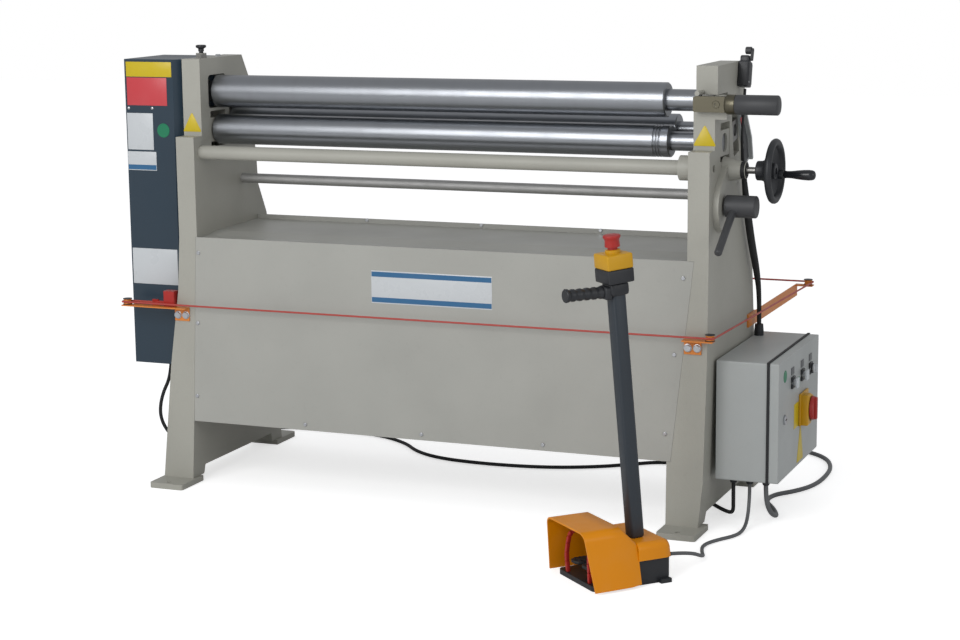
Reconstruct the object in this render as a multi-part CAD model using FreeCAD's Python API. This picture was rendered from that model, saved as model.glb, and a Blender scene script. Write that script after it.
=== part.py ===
import FreeCAD, Part
import math
import os

# Powered slip roll: three long rolls between two cast side frames, a chain and gear drive in a
# sheet cover on the left, adjusters and controls on the right, and a foot switch on a stand.
# X runs along the rolls (+X is the release end), Y from front (-) to rear (+), Z up from the
# floor. The origin is on the floor at the centre of the four anchor holes. Millimetres.

V = FreeCAD.Vector
X_AXIS, Y_AXIS, Z_AXIS = V(1, 0, 0), V(0, 1, 0), V(0, 0, 1)

# ---------------------------------------------------------------- clearances
running = 0.05          # radial, shaft in bearing
slide_gap = 0.25        # each side, block in slot
loose = 0.5             # between moving pieces that only pass each other
seat = 0.3              # between curved faces that only rest together

# ---------------------------------------------------------------- stand
working_length = 1270.0
anchor_spacing_x = working_length + 170.0
anchor_spacing_y = 636.0
anchor_hole_r = 7.0
foot_width = 101.0
foot_depth = 118.0
foot_thickness = 15.0
foot_edge = 20.0        # anchor hole to the outer foot edge

left_face = -(working_length / 2 + 5.0)   # inner face of the left frame beside the rolls
roll_end_gap = 2.5
journal_visible = 91.0  # bare journal between the roll end and the right frame
roll_left = left_face + roll_end_gap
roll_right = roll_left + working_length
right_face = roll_right + journal_visible
frame_wall = 54.0
left_back = left_face - frame_wall
right_back = right_face + frame_wall
frame_top = 1155.0
step_z = frame_top - 204.0   # the lower front of each frame stands forward below this height
front_y = -262.0
upper_front_y = -217.0
rear_y = 262.0
flange = 24.0
web = 18.0
pocket_top = frame_top - 313.0
pocket_bottom = 60.0
web_bottom = 40.0
panel_bottom = 178.0
tray_z = frame_top - 473.0
cover_bottom, cover_top = tray_z - 362.0, frame_top - 2.0   # gear cover
knee_z = tray_z + 22.0          # the rear edge turns outwards below this height
leg_z = tray_z - 145.0          # the left leg bends outwards below this height

# ---------------------------------------------------------------- rolls
top_roll_r = 43.5
lower_roll_r = 40.5
rear_roll_r = 38.0
roll_y = -125.0
top_z = frame_top - 90.0
open_gap = 18.0
lift = 15.0             # travel of the lower roll
lower_z = top_z - top_roll_r - open_gap - lower_roll_r
journal_r_top = 27.0
journal_r_lower = 24.0
inner_journal_r = 15.0  # top roll inside its end block
rear_journal_r = 15.0
shaft_y, shaft_z = 3.6, frame_top - 340.0      # cross shaft
rear_z = top_z - 80.0
rear_slope = -0.2                  # Y per Z along the rear roll's guides
rear_travel = 35.0

block_w, block_h = 82.0, 64.0      # lower bearing blocks
lower_slot_low = lower_z - block_h / 2 - 14
lower_slot_high = lower_z + block_h / 2 + lift + 3
rear_block_w, rear_block_h = 50.0, 52.0
end_block = 39.5                   # square block on the top roll's right journal


# ---------------------------------------------------------------- shape helpers
def box(x0, x1, y0, y1, z0, z1):
    return Part.makeBox(x1 - x0, y1 - y0, z1 - z0, V(x0, y0, z0))


def cyl_x(y, z, r, x0, x1):
    return Part.makeCylinder(r, x1 - x0, V(x0, y, z), X_AXIS)


def cyl_y(x, z, r, y0, y1):
    return Part.makeCylinder(r, y1 - y0, V(x, y0, z), Y_AXIS)


def cyl_z(x, y, r, z0, z1):
    return Part.makeCylinder(r, z1 - z0, V(x, y, z0), Z_AXIS)


def prism(points, direction):
    return Part.Face(Part.makePolygon(points + [points[0]])).extrude(direction)


def prism_x(yz, x0, x1):
    return prism([V(x0, y, z) for y, z in yz], V(x1 - x0, 0, 0))


def prism_y(xz, y0, y1):
    return prism([V(x, y0, z) for x, z in xz], V(0, y1 - y0, 0))


def prism_z(xy, z0, z1):
    return prism([V(x, y, z0) for x, y in xy], V(0, 0, z1 - z0))


def fuse(first, *others):
    for other in others:
        first = first.fuse(other)
    return first.removeSplitter()


def cut(first, *others):
    for other in others:
        first = first.cut(other)
    return first


def parallel_edges(shape, axis, keep=lambda centre: True):
    """Straight edges of the shape along one axis whose centres pass the test."""
    found = []
    for edge in shape.Edges:
        if not isinstance(edge.Curve, Part.Line):
            continue
        run = edge.Vertexes[-1].Point.sub(edge.Vertexes[0].Point)
        run.normalize()
        if abs(run.dot(axis)) > 0.999 and keep(edge.CenterOfMass):
            found.append(edge)
    return found


def rounded(shape, radius, axis, keep=lambda centre: True):
    return shape.makeFillet(radius, parallel_edges(shape, axis, keep))


def link(y0, z0, r0, y1, z1, r1, x0, x1):
    """Two round bosses joined by their common tangents, extruded along X."""
    run = math.hypot(y1 - y0, z1 - z0)
    heading = math.atan2(z1 - z0, y1 - y0)
    lean = math.acos((r0 - r1) / run)
    corners = []
    for side in (1, -1):
        angle = heading + side * lean
        near = (y0 + r0 * math.cos(angle), z0 + r0 * math.sin(angle))
        far = (y1 + r1 * math.cos(angle), z1 + r1 * math.sin(angle))
        corners += [near, far] if side == 1 else [far, near]
    body = prism_x(corners, x0, x1)
    return fuse(body, cyl_x(y0, z0, r0, x0, x1), cyl_x(y1, z1, r1, x0, x1))


def toothed(teeth, root_r, tip_r, root_w, tip_w, phase, x0, x1, y, z):
    """Straight-sided gear on the X axis; phase is the angle of one tooth from +Y towards +Z."""
    points = []
    for k in range(teeth):
        middle = phase + 2 * math.pi * k / teeth
        for radius, width, side in ((root_r, root_w, -1), (tip_r, tip_w, -1),
                                    (tip_r, tip_w, 1), (root_r, root_w, 1)):
            angle = middle + side * math.asin(width / 2 / radius)
            points.append((y + radius * math.cos(angle), z + radius * math.sin(angle)))
    return prism_x(points, x0, x1)


def turned(shape, degrees, centre, axis):
    copy = shape.copy()
    copy.rotate(centre, axis, degrees)
    return copy


def cord(points, diameter, name, limp=False):
    """Tube of straight runs joined by tangent arcs, each as large as its two runs allow."""
    nodes = [V(*p) for p in points]
    edges, radii, start = [], [], nodes[0]
    for k in range(1, len(nodes) - 1):
        before, after = nodes[k].sub(nodes[k - 1]), nodes[k + 1].sub(nodes[k])
        short = min(before.Length, after.Length)
        turn = before.getAngle(after)
        radius = 0.45 * short / math.tan(turn / 2)
        reach = 0.45 * short
        radii.append(radius / diameter)
        a = V(before)
        a.normalize()
        b = V(after)
        b.normalize()
        enter = nodes[k].sub(V(a).multiply(reach))
        leave = nodes[k].add(V(b).multiply(reach))
        inward = b.sub(a)
        inward.normalize()
        middle = nodes[k].add(V(inward).multiply(radius / math.cos(turn / 2) - radius))
        edges.append(Part.LineSegment(start, enter).toShape())
        edges.append(Part.Arc(enter, middle, leave).toShape())
        start = leave
    edges.append(Part.LineSegment(start, nodes[-1]).toShape())
    path = Part.Wire(edges)
    heading = nodes[1].sub(nodes[0])
    ring = Part.Wire([Part.makeCircle(diameter / 2, nodes[0], heading)])
    tube = path.makePipeShell([ring], True, False)
    expected = math.pi * diameter ** 2 / 4 * path.Length
    print(name, "length", round(path.Length), "smallest bend in diameters",
          round(min(radii), 1), "volume ratio", round(tube.Volume / expected, 4))
    return tube


def group(shapes):
    return Part.makeCompound(shapes)


# ---------------------------------------------------------------- side frames
knee_y = 138.0
side_profile = [
    (front_y, foot_thickness), (front_y, step_z), (upper_front_y, step_z),
    (upper_front_y, frame_top), (17.0, frame_top), (53.0, frame_top - 59),
    (88.0, pocket_top + 7), (93.0, pocket_top - 53), (knee_y, knee_z),
    (rear_y, foot_thickness)]
left_profile = [
    (left_face, frame_top), (left_face, tray_z), (left_face - 28, panel_bottom),
    (left_face - 37, foot_thickness), (left_face - 127, foot_thickness),
    (left_face - 94, cover_bottom + 6), (left_face - 63, leg_z), (left_back, tray_z),
    (left_back, frame_top)]
right_profile = [
    (right_face, frame_top), (right_face, tray_z), (right_face - 50, panel_bottom),
    (right_face - 52, foot_thickness), (right_face + 32, foot_thickness),
    (right_face + 44, 130.0), (right_back - 2, tray_z - 252), (right_back, tray_z),
    (right_back, frame_top)]


def feet(x):
    """Front and rear foot plates with their anchor holes and clipped corners."""
    plates = []
    for side in (-1, 1):
        hole_y = side * anchor_spacing_y / 2
        outer = hole_y + side * foot_edge
        inner = outer - side * foot_depth
        plate = box(x - foot_width / 2, x + foot_width / 2, min(outer, inner),
                    max(outer, inner), 0, foot_thickness)
        plate = rounded(plate, 8, Z_AXIS, lambda c: abs(c.y) > anchor_spacing_y / 2)
        plates.append(cut(plate, cyl_z(x, hole_y, anchor_hole_r, -1, foot_thickness + 1)))
    return plates


def inset_side(margin):
    """Side profile drawn in by the flange width, for the hollow between the flanges."""
    lower_front = front_y + margin
    return [(lower_front, pocket_bottom), (lower_front, pocket_top),
            (88.0 - margin - 6, pocket_top), (93.0 - margin - 6, pocket_top - 53),
            (knee_y - margin - 6, knee_z), (rear_y - margin - 18, pocket_bottom)]


def frame_body(profile):
    """Cast side frame: solid head, then a web on the +X side between two wide flanges."""
    body = prism_y(profile, front_y - 1, rear_y + 1)
    body = body.common(prism_x(side_profile, 2 * left_face, 2 * right_face))
    arch = prism_x([(-205, -1), (-195, web_bottom), (195, web_bottom), (205, -1)],
                   2 * left_face, 2 * right_face)
    body = cut(body, arch)
    hollow = prism_x(inset_side(flange), 2 * left_face, 2 * right_face)
    for shift in (web, frame_wall, 2 * frame_wall):
        moved = prism_y([(x - shift, z) for x, z in profile], front_y - 1, rear_y + 1)
        body = cut(body, hollow.common(moved))
    return cut(body, panel_recess())


def ledge(points):
    """Strip behind the front panel's edge that takes its screws."""
    return prism_y(points, front_y + sheet, front_y + sheet + 12)


def rounded_slot(y0, y1, z0, z1, r, x0, x1):
    return rounded(box(x0, x1, y0, y1, z0, z1), r, X_AXIS)


rear_dir = V(0, rear_slope, 1)
rear_dir.normalize()
rear_rest = V(0, shaft_y + (rear_z - shaft_z) * rear_slope, rear_z)
lean_deg = -math.degrees(math.atan2(rear_slope, 1))


def along_guide(s, x):
    point = rear_rest.add(V(rear_dir).multiply(s))
    return V(x, point.y, point.z)


def leaned(shape, centre):
    """Turns an upright shape into line with the rear roll's guides."""
    return turned(shape, lean_deg, centre, X_AXIS)


def rear_slot(x0, x1):
    half = rear_block_w / 2 + slide_gap
    low = -rear_travel - rear_block_h / 2 - loose
    high = rear_travel + rear_block_h / 2 + loose
    centre = along_guide(0, 0)
    slot = box(x0, x1, centre.y - half, centre.y + half, centre.z + low, centre.z + high)
    return leaned(slot, centre)


tail_r = 13.0
tail_low = -101.0        # lower end of the nut tail, from the rear block's centre
screw_r = 8.0
screw_top = -54.0        # top of the lift screw on the guide line
shaft_r = 13.5
bevel_in, bevel_out = 9.5, 17.0   # distances of the bevel teeth from the shafts' crossing
bevel_gap = 0.4
arm_y, arm_z = -222.0, lower_z - 55.0     # pinch shaft
arm_hub_r = 21.0
pinch_shaft_r = 18.5
arm_end_r = 9.0
arm_end_z = lower_z - block_h / 2 - arm_end_r - loose
arm_length = roll_y - arm_y
arm_swing = math.degrees(math.asin(lift / arm_length))
arm_t = 16.0
lever_y, lever_z = -183.0, arm_z - 95.0
cam_r, cam_throw, lever_stub_r = 24.0, 15.0, 8.0
lever_swing = 70.0
wall_inner = 18.0        # frame wall left standing beside the adjuster pockets


def adjuster_pocket(x0, x1):
    """Room inside the frame head for the rocker arm, the lift screw and the bevel gears."""
    arm = link(arm_y, arm_z, arm_hub_r + 3, roll_y, arm_end_z + lift / 2, arm_end_r + 14, x0, x1)
    centre = along_guide(0, 0)
    slot_low = -rear_travel - rear_block_h / 2
    tube = box(x0, x1, centre.y - tail_r - 2, centre.y + tail_r + 2,
               shaft_z, centre.z + slot_low)
    gears = cyl_x(shaft_y, shaft_z, bevel_out + 11, x0, x1)
    return fuse(arm, leaned(tube, centre), gears)


def left_frame():
    body = frame_body(left_profile)
    inner = left_face - wall_inner
    opening = rounded_slot(roll_y - 49, roll_y + 47, top_z - 44, top_z + 45, 12,
                           left_back - 1, left_face + 1)
    slot = rounded_slot(roll_y - block_w / 2 - slide_gap, roll_y + block_w / 2 + slide_gap,
                        lower_slot_low, lower_slot_high, 4, left_back - 1, left_face + 1)
    boss = box(left_back - 12, left_face - 12, -190, -60, shelf_z - 74, shelf_z + 8)
    strip = ledge([(left_face - 10, tray_z - 12), (left_face - 35, panel_bottom + 4),
                   (left_face + 2, panel_bottom + 4), (left_face + 26, tray_z - 12)])
    body = fuse(body, boss, strip, *feet(-anchor_spacing_x / 2))
    body = cut(body, opening, slot, rear_slot(left_back - 1, left_face + 1),
               adjuster_pocket(left_back - 20, inner),
               cyl_x(arm_y, arm_z, pinch_shaft_r + running, left_back - 20, left_face + 1),
               cyl_x(shaft_y, shaft_z, shaft_r + running, left_back - 20, left_face + 1),
               cyl_z(plunger_x, plunger_y, plunger_pin_r + running, top_z + 50, frame_top + 1))
    return fuse(body, plunger_bush())


gear_layer = 12.0        # depth of the gear pocket in the right frame's outer side
gear_cover_t = 2.0


def right_frame():
    body = frame_body(right_profile)
    inner_depth = right_back - wall_inner
    slot = rounded_slot(roll_y - block_w / 2 - slide_gap, roll_y + block_w / 2 + slide_gap,
                        lower_slot_low, lower_slot_high, 4, right_face - 1, right_back + 1)
    half = end_block / 2 + slide_gap
    mouth = box(right_face - 1, right_back + 1, upper_front_y - 1, roll_y + half,
                top_z - half, top_z + half)
    cam_room = cyl_x(lever_y, lever_z, cam_r + cam_throw + 2, right_face - 1, inner_depth)
    arm_tail = link(arm_y, arm_z, arm_hub_r + 3, -150, lever_z - 13, 34, right_face - 1, inner_depth)
    strip = ledge([(right_face + 5, tray_z - 12), (right_face - 45, panel_bottom + 4),
                   (right_face - 82, panel_bottom + 4), (right_face - 34, tray_z - 12)])
    body = fuse(body, strip, *feet(anchor_spacing_x / 2))
    body = cut(body, slot, mouth, rear_slot(right_face - 1, right_back + 1),
               adjuster_pocket(right_face - 1, inner_depth), cam_room, arm_tail,
               gear_pocket(),
               cyl_x(arm_y, arm_z, 10, right_face - 1, right_back + 1),
               cyl_x(arm_y, arm_z, pinch_shaft_r + running, right_face - 1, right_back - 4),
               cyl_x(shaft_y, shaft_z, shaft_r + running, right_face - 1, right_back - 4),
               cyl_x(wheel_y, wheel_z, wheel_shaft_r + running, inner_depth - 4, right_back + 1),
               cyl_x(lever_y, lever_z, lever_stub_r + running, right_face - 1, right_back + 1))
    head_back = box(right_face - 1, right_back + 1, upper_front_y - 1, upper_front_y + 22,
                    top_z + half - 0.01, frame_top + 1)
    return fuse(cut(body, head_back), latch_fixings())


# ---------------------------------------------------------------- adjuster gears
wheel_y, wheel_z = roll_y, arm_z - 12.0
wheel_shaft_r = 8.5
pinion_teeth, idler_teeth, gear_module = 14, 24, 4.0
idler_y, idler_z = (wheel_y + shaft_y) / 2, (wheel_z + shaft_z) / 2
gear_line = math.atan2(shaft_z - wheel_z, shaft_y - wheel_y)
centre_gap = math.hypot(shaft_y - wheel_y, shaft_z - wheel_z) / 2
pinion_pitch = centre_gap * pinion_teeth / (pinion_teeth + idler_teeth)
idler_pitch = centre_gap - pinion_pitch
addendum = 0.8 * gear_module
dedendum = 1.15 * gear_module
gear_x0 = right_back - gear_layer + 1
gear_x1 = right_back - gear_cover_t - 1


def small_gear(y, z, pitch_r, teeth, phase):
    tooth = 2 * math.pi * pitch_r / teeth
    return toothed(teeth, pitch_r - dedendum, pitch_r + addendum, 0.55 * tooth, 0.24 * tooth,
                   phase, gear_x0, gear_x1, y, z)


def gear_pocket():
    """Round pockets for the three adjuster gears and a step for their cover plate."""
    x0, x1 = right_back - gear_layer, right_back + 1
    rooms = [cyl_x(wheel_y, wheel_z, pinion_pitch + addendum + 2, x0, x1),
             cyl_x(idler_y, idler_z, idler_pitch + addendum + 2, x0, x1),
             cyl_x(shaft_y, shaft_z, pinion_pitch + addendum + 2, x0, x1)]
    return fuse(*rooms)


def adjuster_plate():
    """Thin plate that closes the gear pocket."""
    x0, x1 = right_back - gear_cover_t, right_back
    inset = 1.5
    plate = fuse(cyl_x(wheel_y, wheel_z, pinion_pitch + addendum + inset, x0, x1),
                 cyl_x(idler_y, idler_z, idler_pitch + addendum + inset, x0, x1),
                 cyl_x(shaft_y, shaft_z, pinion_pitch + addendum + inset, x0, x1))
    return cut(plate, cyl_x(wheel_y, wheel_z, wheel_shaft_r + loose, x0 - 1, x1 + 1))


def cross_shaft():
    """Rear cross shaft with a bevel pinion at each frame and a gear at its right end."""
    left_end = left_back + 8
    shaft = cyl_x(shaft_y, shaft_z, shaft_r, left_end, right_back - gear_layer - 0.5)
    for x in (left_screw_x, right_screw_x):
        side = 1 if x < 0 else -1
        gap = cyl_x(shaft_y, shaft_z, 2 * shaft_r, x - bevel_out, x + bevel_out)
        neck = cyl_x(shaft_y, shaft_z, shaft_r - 6, x - bevel_out - 1, x + bevel_out + 1)
        cone = Part.makeCone(bevel_in - bevel_gap, bevel_out - bevel_gap, bevel_out - bevel_in,
                             V(x + side * bevel_in, shaft_y, shaft_z), V(side, 0, 0))
        shaft = fuse(cut(shaft, gap), neck, cone)
    spigot = cyl_x(shaft_y, shaft_z, shaft_r - 4, right_back - gear_layer - 1, gear_x1)
    gear = small_gear(shaft_y, shaft_z, pinion_pitch, pinion_teeth, gear_line + math.pi)
    return fuse(shaft, spigot, gear)


left_screw_x = left_back + 18
right_screw_x = right_face + 18


def lift_screw(x):
    """Slanted screw that raises one rear bearing block, with its bevel wheel."""
    centre = along_guide(0, x)
    top = centre.z + screw_top
    foot = centre.z - (centre.z - shaft_z) / rear_dir.z + bevel_in
    screw = cyl_z(x, centre.y, screw_r, foot, top)
    wheel = Part.makeCone(bevel_in - bevel_gap, bevel_out - bevel_gap, bevel_out - bevel_in,
                          V(x, centre.y, foot), Z_AXIS)
    return leaned(fuse(screw, wheel), centre)


def idler_gear():
    mesh = gear_line + math.pi / idler_teeth
    gear = small_gear(idler_y, idler_z, idler_pitch, idler_teeth, mesh)
    return cut(gear, cyl_x(idler_y, idler_z, 7 + running, gear_x0 - 1, gear_x1 + 1))


def idler_pin():
    return cyl_x(idler_y, idler_z, 7, right_back - gear_layer, right_back - gear_cover_t)


# ---------------------------------------------------------------- rear roll
def rear_blocks():
    blocks = []
    for x0, x1, screw_x in ((left_back + 1, left_face - 0.5, left_screw_x),
                            (right_face + 0.5, right_back - 1, right_screw_x)):
        centre = along_guide(0, 0)
        block = box(x0, x1, centre.y - rear_block_w / 2, centre.y + rear_block_w / 2,
                    centre.z - rear_block_h / 2, centre.z + rear_block_h / 2)
        tail = cyl_z(screw_x, centre.y, tail_r, centre.z + tail_low,
                     centre.z - rear_block_h / 2 + 1)
        bore = cyl_z(screw_x, centre.y, screw_r + running, centre.z + tail_low - 1,
                     centre.z - rear_journal_r - 3)
        block = leaned(cut(fuse(block, tail), bore), centre)
        blocks.append(cut(block, cyl_x(centre.y, centre.z, rear_journal_r + running, x0 - 1,
                                       x1 + 1)))
    return group(blocks)


def rear_roll():
    y, z = rear_rest.y, rear_rest.z
    body = cyl_x(y, z, rear_roll_r, roll_left, roll_right)
    body = body.makeChamfer(2, body.Edges)
    ends = cyl_x(y, z, rear_journal_r, left_back + 6, right_back - 6)
    neck = cyl_x(y, z, rear_journal_r + 4, roll_left - 1.5, right_face - 1)
    return fuse(body, ends, neck)


# ---------------------------------------------------------------- lower roll and pinch
groove_pitch, groove_r = 7.5, 2.6


def star_gear(y, z, phase, x0, x1, bore):
    """Long-toothed gear that stays in mesh over the whole lift of the lower roll."""
    gear = toothed(12, 32.5, 53.5, 8.2, 4.4, phase, x0, x1, y, z)
    return cut(gear, cyl_x(y, z, bore, x0 - 1, x1 + 1))


star_x0, star_x1 = left_back - 28, left_back - 8
drive_shaft_r = 17.0
lower_shaft_r = 17.0


def lower_roll():
    body = cyl_x(roll_y, lower_z, lower_roll_r, roll_left, roll_right + 10)
    body = body.makeChamfer(3, body.Edges)
    for k in range(3):
        x = roll_right - 14 - k * groove_pitch
        ring = Part.makeTorus(lower_roll_r + 0.4, groove_r, V(x, roll_y, lower_z), X_AXIS)
        body = cut(body, ring)
    right = cyl_x(roll_y, lower_z, journal_r_lower, roll_right, right_back - 6)
    left = cyl_x(roll_y, lower_z, journal_r_lower, left_back + 2, roll_left + 1)
    stub = cyl_x(roll_y, lower_z, lower_shaft_r, star_x0 - 6, left_back + 3)
    return fuse(body, right, left, stub)


def lower_blocks():
    blocks = []
    for x0, x1 in ((left_back + 1, left_face - 0.5), (right_face + 0.5, right_back - 1)):
        block = box(x0, x1, roll_y - block_w / 2, roll_y + block_w / 2,
                    lower_z - block_h / 2, lower_z + block_h / 2)
        block = block.makeChamfer(1.5, parallel_edges(block, X_AXIS))
        blocks.append(cut(block, cyl_x(roll_y, lower_z, journal_r_lower + running,
                                       x0 - 1, x1 + 1)))
    return group(blocks)


def rocker(x0, x1):
    arm = link(arm_y, arm_z, arm_hub_r, roll_y, arm_end_z, arm_end_r, x0, x1)
    return arm


def cam_centre(angle):
    """Cam centre when the lever has turned by the angle (degrees) from its rest."""
    swing = math.radians(angle - lever_swing / 2)
    return lever_y + cam_throw * math.sin(swing), lever_z - cam_throw * math.cos(swing)


def pinch_shaft():
    """Front cross shaft with a rocker arm under each lower block and a tail for the lever."""
    shaft = cyl_x(arm_y, arm_z, pinch_shaft_r, left_back + 3, right_back - 6)
    collar = cyl_x(arm_y, arm_z, 31, right_face - 30, right_face - seat)
    left = rocker(left_back + 3, left_back + 3 + arm_t)
    x0 = right_face + 3
    right = rocker(x0, x0 + arm_t)
    cam_y, cam_z = cam_centre(0)
    reach = math.hypot(cam_y - arm_y, cam_z - arm_z)
    half = 8.0
    offset = math.asin((cam_r + 3 * loose + half) / reach)
    heading = math.atan2(cam_z - arm_z, cam_y - arm_y) + offset
    tail_y = arm_y + 122 * math.cos(heading)
    tail_z = arm_z + 122 * math.sin(heading)
    tail = link(arm_y, arm_z, half + 0.01, tail_y, tail_z, half, x0, x0 + arm_t)
    return fuse(shaft, collar, left, right, tail)


def lever_shaft():
    """Stub shaft of the pinch lever, with the cam that pushes the rocker's tail."""
    cam_y, cam_z = cam_centre(0)
    x0 = right_face + 3
    stub = cyl_x(lever_y, lever_z, lever_stub_r, x0, hub_x1 - 12)
    return fuse(stub, cyl_x(cam_y, cam_z, cam_r, x0, x0 + arm_t))


bracket_t = 16.0
hub_x0 = right_back + bracket_t + 4
hub_x1 = hub_x0 + 78.0
hub_r = 27.5
rod_r = 9.5
rod_length = 178.0
rod_drop = 33.0          # degrees below level at rest
disc_r = 66.0


def lever_hub():
    hub = cyl_x(lever_y, lever_z, hub_r, hub_x0, hub_x1)
    hub = hub.makeFillet(3, hub.Edges[:1] + hub.Edges[2:])
    hub = cut(hub, cyl_x(lever_y, lever_z, lever_stub_r, hub_x0 - 1, hub_x1 - 12))
    return cut(hub, rod_cylinder(rod_r, 14))


def rod_cylinder(radius, start):
    drop = math.radians(rod_drop)
    direction = V(0, -math.cos(drop), -math.sin(drop))
    begin = V(hub_x0 + 22, lever_y, lever_z).add(V(direction).multiply(start))
    return Part.makeCylinder(radius, rod_length - start, begin, direction)


def lever_rod():
    rod = rod_cylinder(rod_r, 14)
    ends = [e for e in rod.Edges if isinstance(e.Curve, Part.Circle)]
    tip = max(ends, key=lambda e: -e.CenterOfMass.z)
    return rod.makeFillet(6, [tip])


def bearing_bracket():
    """Pear-shaped casting on the right frame that carries the wheel shaft and lever shaft."""
    x0 = right_back
    plate = link(wheel_y, wheel_z, 27, lever_y + 12, lever_z, disc_r, x0, x0 + bracket_t)
    nose = Part.makeCone(32, 22, 44, V(x0, wheel_y, wheel_z), X_AXIS)
    body = fuse(plate, nose)
    return cut(body, cyl_x(wheel_y, wheel_z, wheel_shaft_r + running, x0 - 1, x0 + 60),
               cyl_x(lever_y, lever_z, lever_stub_r + running, x0 - 1, x0 + 60),
               cyl_x(lever_y + 52, lever_z - 33, 6, x0 - 1, x0 + 60))


nose_end = right_back + 44.0
seal_t = 12.0
wheel_hub_x = nose_end + seal_t + 26
wheel_r = 80.0
wheel_plane = wheel_hub_x + 44
crank_length = 78.0


def shaft_seal():
    seal = cyl_x(wheel_y, wheel_z, 21, nose_end, nose_end + seal_t)
    return cut(seal, cyl_x(wheel_y, wheel_z, wheel_shaft_r + loose, nose_end - 1,
                           nose_end + seal_t + 1))


def wheel_shaft():
    shaft = cyl_x(wheel_y, wheel_z, wheel_shaft_r, gear_x0, wheel_hub_x + 24)
    gear = small_gear(wheel_y, wheel_z, pinion_pitch, pinion_teeth, gear_line)
    return fuse(shaft, gear)


def handwheel():
    """Dished three-spoke handwheel with a spindle boss for its crank handle."""
    hub = cyl_x(wheel_y, wheel_z, 21, wheel_hub_x, wheel_plane + 4)
    rim = Part.makeTorus(wheel_r - 9, 9, V(wheel_plane, wheel_y, wheel_z), X_AXIS)
    body = fuse(hub, rim)
    for k in range(3):
        angle = math.radians(90 + 120 * k)
        spoke = box(wheel_plane - 7, wheel_plane + 5, wheel_y, wheel_y + wheel_r - 10,
                    wheel_z - 11, wheel_z + 11)
        spoke = turned(spoke, math.degrees(angle), V(0, wheel_y, wheel_z), X_AXIS)
        body = fuse(body, spoke)
    body = cut(body, cyl_x(wheel_y, wheel_z, wheel_shaft_r, wheel_hub_x - 1, wheel_hub_x + 24))
    boss = cyl_x(crank_y, crank_z, 10, wheel_plane - 7, wheel_plane + 9)
    spindle = cyl_x(crank_y, crank_z, 4, wheel_plane, wheel_plane + 9 + crank_length - 4)
    return fuse(body, boss, spindle)


crank_y, crank_z = wheel_y + 59.0, wheel_z - 14.0


def crank_handle():
    x0 = wheel_plane + 9 + seat
    profile = [(0, 9.0), (8, 11.0), (34, 13.0), (60, 13.5), (74, 11.0), (crank_length, 5.0)]
    points = [V(x0 + a, crank_y + r, crank_z) for a, r in profile]
    curve = Part.BSplineCurve()
    curve.interpolate(points)
    axis_start, axis_end = V(x0, crank_y, crank_z), V(x0 + crank_length, crank_y, crank_z)
    wire = Part.Wire([Part.LineSegment(axis_start, points[0]).toShape(), curve.toShape(),
                      Part.LineSegment(points[-1], axis_end).toShape(),
                      Part.LineSegment(axis_end, axis_start).toShape()])
    handle = Part.Face(wire).revolve(axis_start, X_AXIS, 360)
    return cut(handle, cyl_x(crank_y, crank_z, 4 + running, x0 - 1, x0 + crank_length - 3))


# ---------------------------------------------------------------- top roll and its drive
end_block_x1 = right_face + 28.5
swivel_x = left_back - 1
swivel_r = 34.0
swivel_half = 10.0
dog_x = left_back - 4
tongue_half = 5.5
tongue_play = 3.0        # lets the top roll swing while its tongue stays in the fork


def top_roll():
    body = cyl_x(roll_y, top_z, top_roll_r, roll_left, roll_right)
    body = body.makeChamfer(3, body.Edges)
    neck = cyl_x(roll_y, top_z, journal_r_top, roll_left - 30, roll_left + 1)
    left = cyl_x(roll_y, top_z, 20, dog_x + 1.5, roll_left - 29)
    right = cyl_x(roll_y, top_z, journal_r_top, roll_right - 1, right_face - 3)
    spigot = cyl_x(roll_y, top_z, inner_journal_r, right_face - 4, end_block_x1 - 1.5)
    tongue = box(dog_x - 10, dog_x + 2.5, roll_y - 12, roll_y + 12, top_z - tongue_half,
                 top_z + tongue_half)
    return fuse(body, neck, left, right, spigot, tongue)


def barrel(radius, half, bore):
    """Slice of a ball about the X axis at the swivel's centre, with a round bore."""
    x, y, z = swivel_x + swivel_half + 2, roll_y, top_z
    edge = math.sqrt(radius ** 2 - half ** 2)
    low, high = V(x - half, y + edge, z), V(x + half, y + edge, z)
    low_in, high_in = V(x - half, y + bore, z), V(x + half, y + bore, z)
    crown = Part.Arc(low, V(x, y + radius, z), high).toShape()
    wire = Part.Wire([crown, Part.LineSegment(high, high_in).toShape(),
                      Part.LineSegment(high_in, low_in).toShape(),
                      Part.LineSegment(low_in, low).toShape()])
    return Part.Face(wire).revolve(V(0, y, z), X_AXIS, 360)


def swivel_ring():
    """Ball-shaped inner ring of the swivel bearing at the top roll's left end."""
    return barrel(swivel_r, swivel_half, 20 + running)


def swivel_carrier():
    """Housing of the swivel bearing, set in the left frame's opening."""
    x0, x1 = swivel_x + 2, swivel_x + 2 + 2 * swivel_half
    carrier = rounded_slot(roll_y - 49, roll_y + 47, top_z - 44, top_z + 45, 12, x0, x1)
    room = barrel(swivel_r + seat, swivel_half, 1)
    return cut(carrier, room, cyl_x(roll_y, top_z, 2, x0 - 1, x1 + 1))


def end_bearing():
    """Square block that carries the top roll's right spigot in the frame's front slot."""
    half = end_block / 2
    block = box(right_face + 0.5, end_block_x1, roll_y - half, roll_y + half,
                top_z - half, top_z + half)
    return cut(block, cyl_x(roll_y, top_z, inner_journal_r + running, right_face - 1,
                            right_back + 1))


sprocket_x = left_back - 52.0
chain_pitch = 19.05
top_teeth, motor_teeth, chain_links = 20, 16, 58
top_pitch_r = chain_pitch / 2 / math.sin(math.pi / top_teeth)
motor_pitch_r = chain_pitch / 2 / math.sin(math.pi / motor_teeth)


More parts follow.
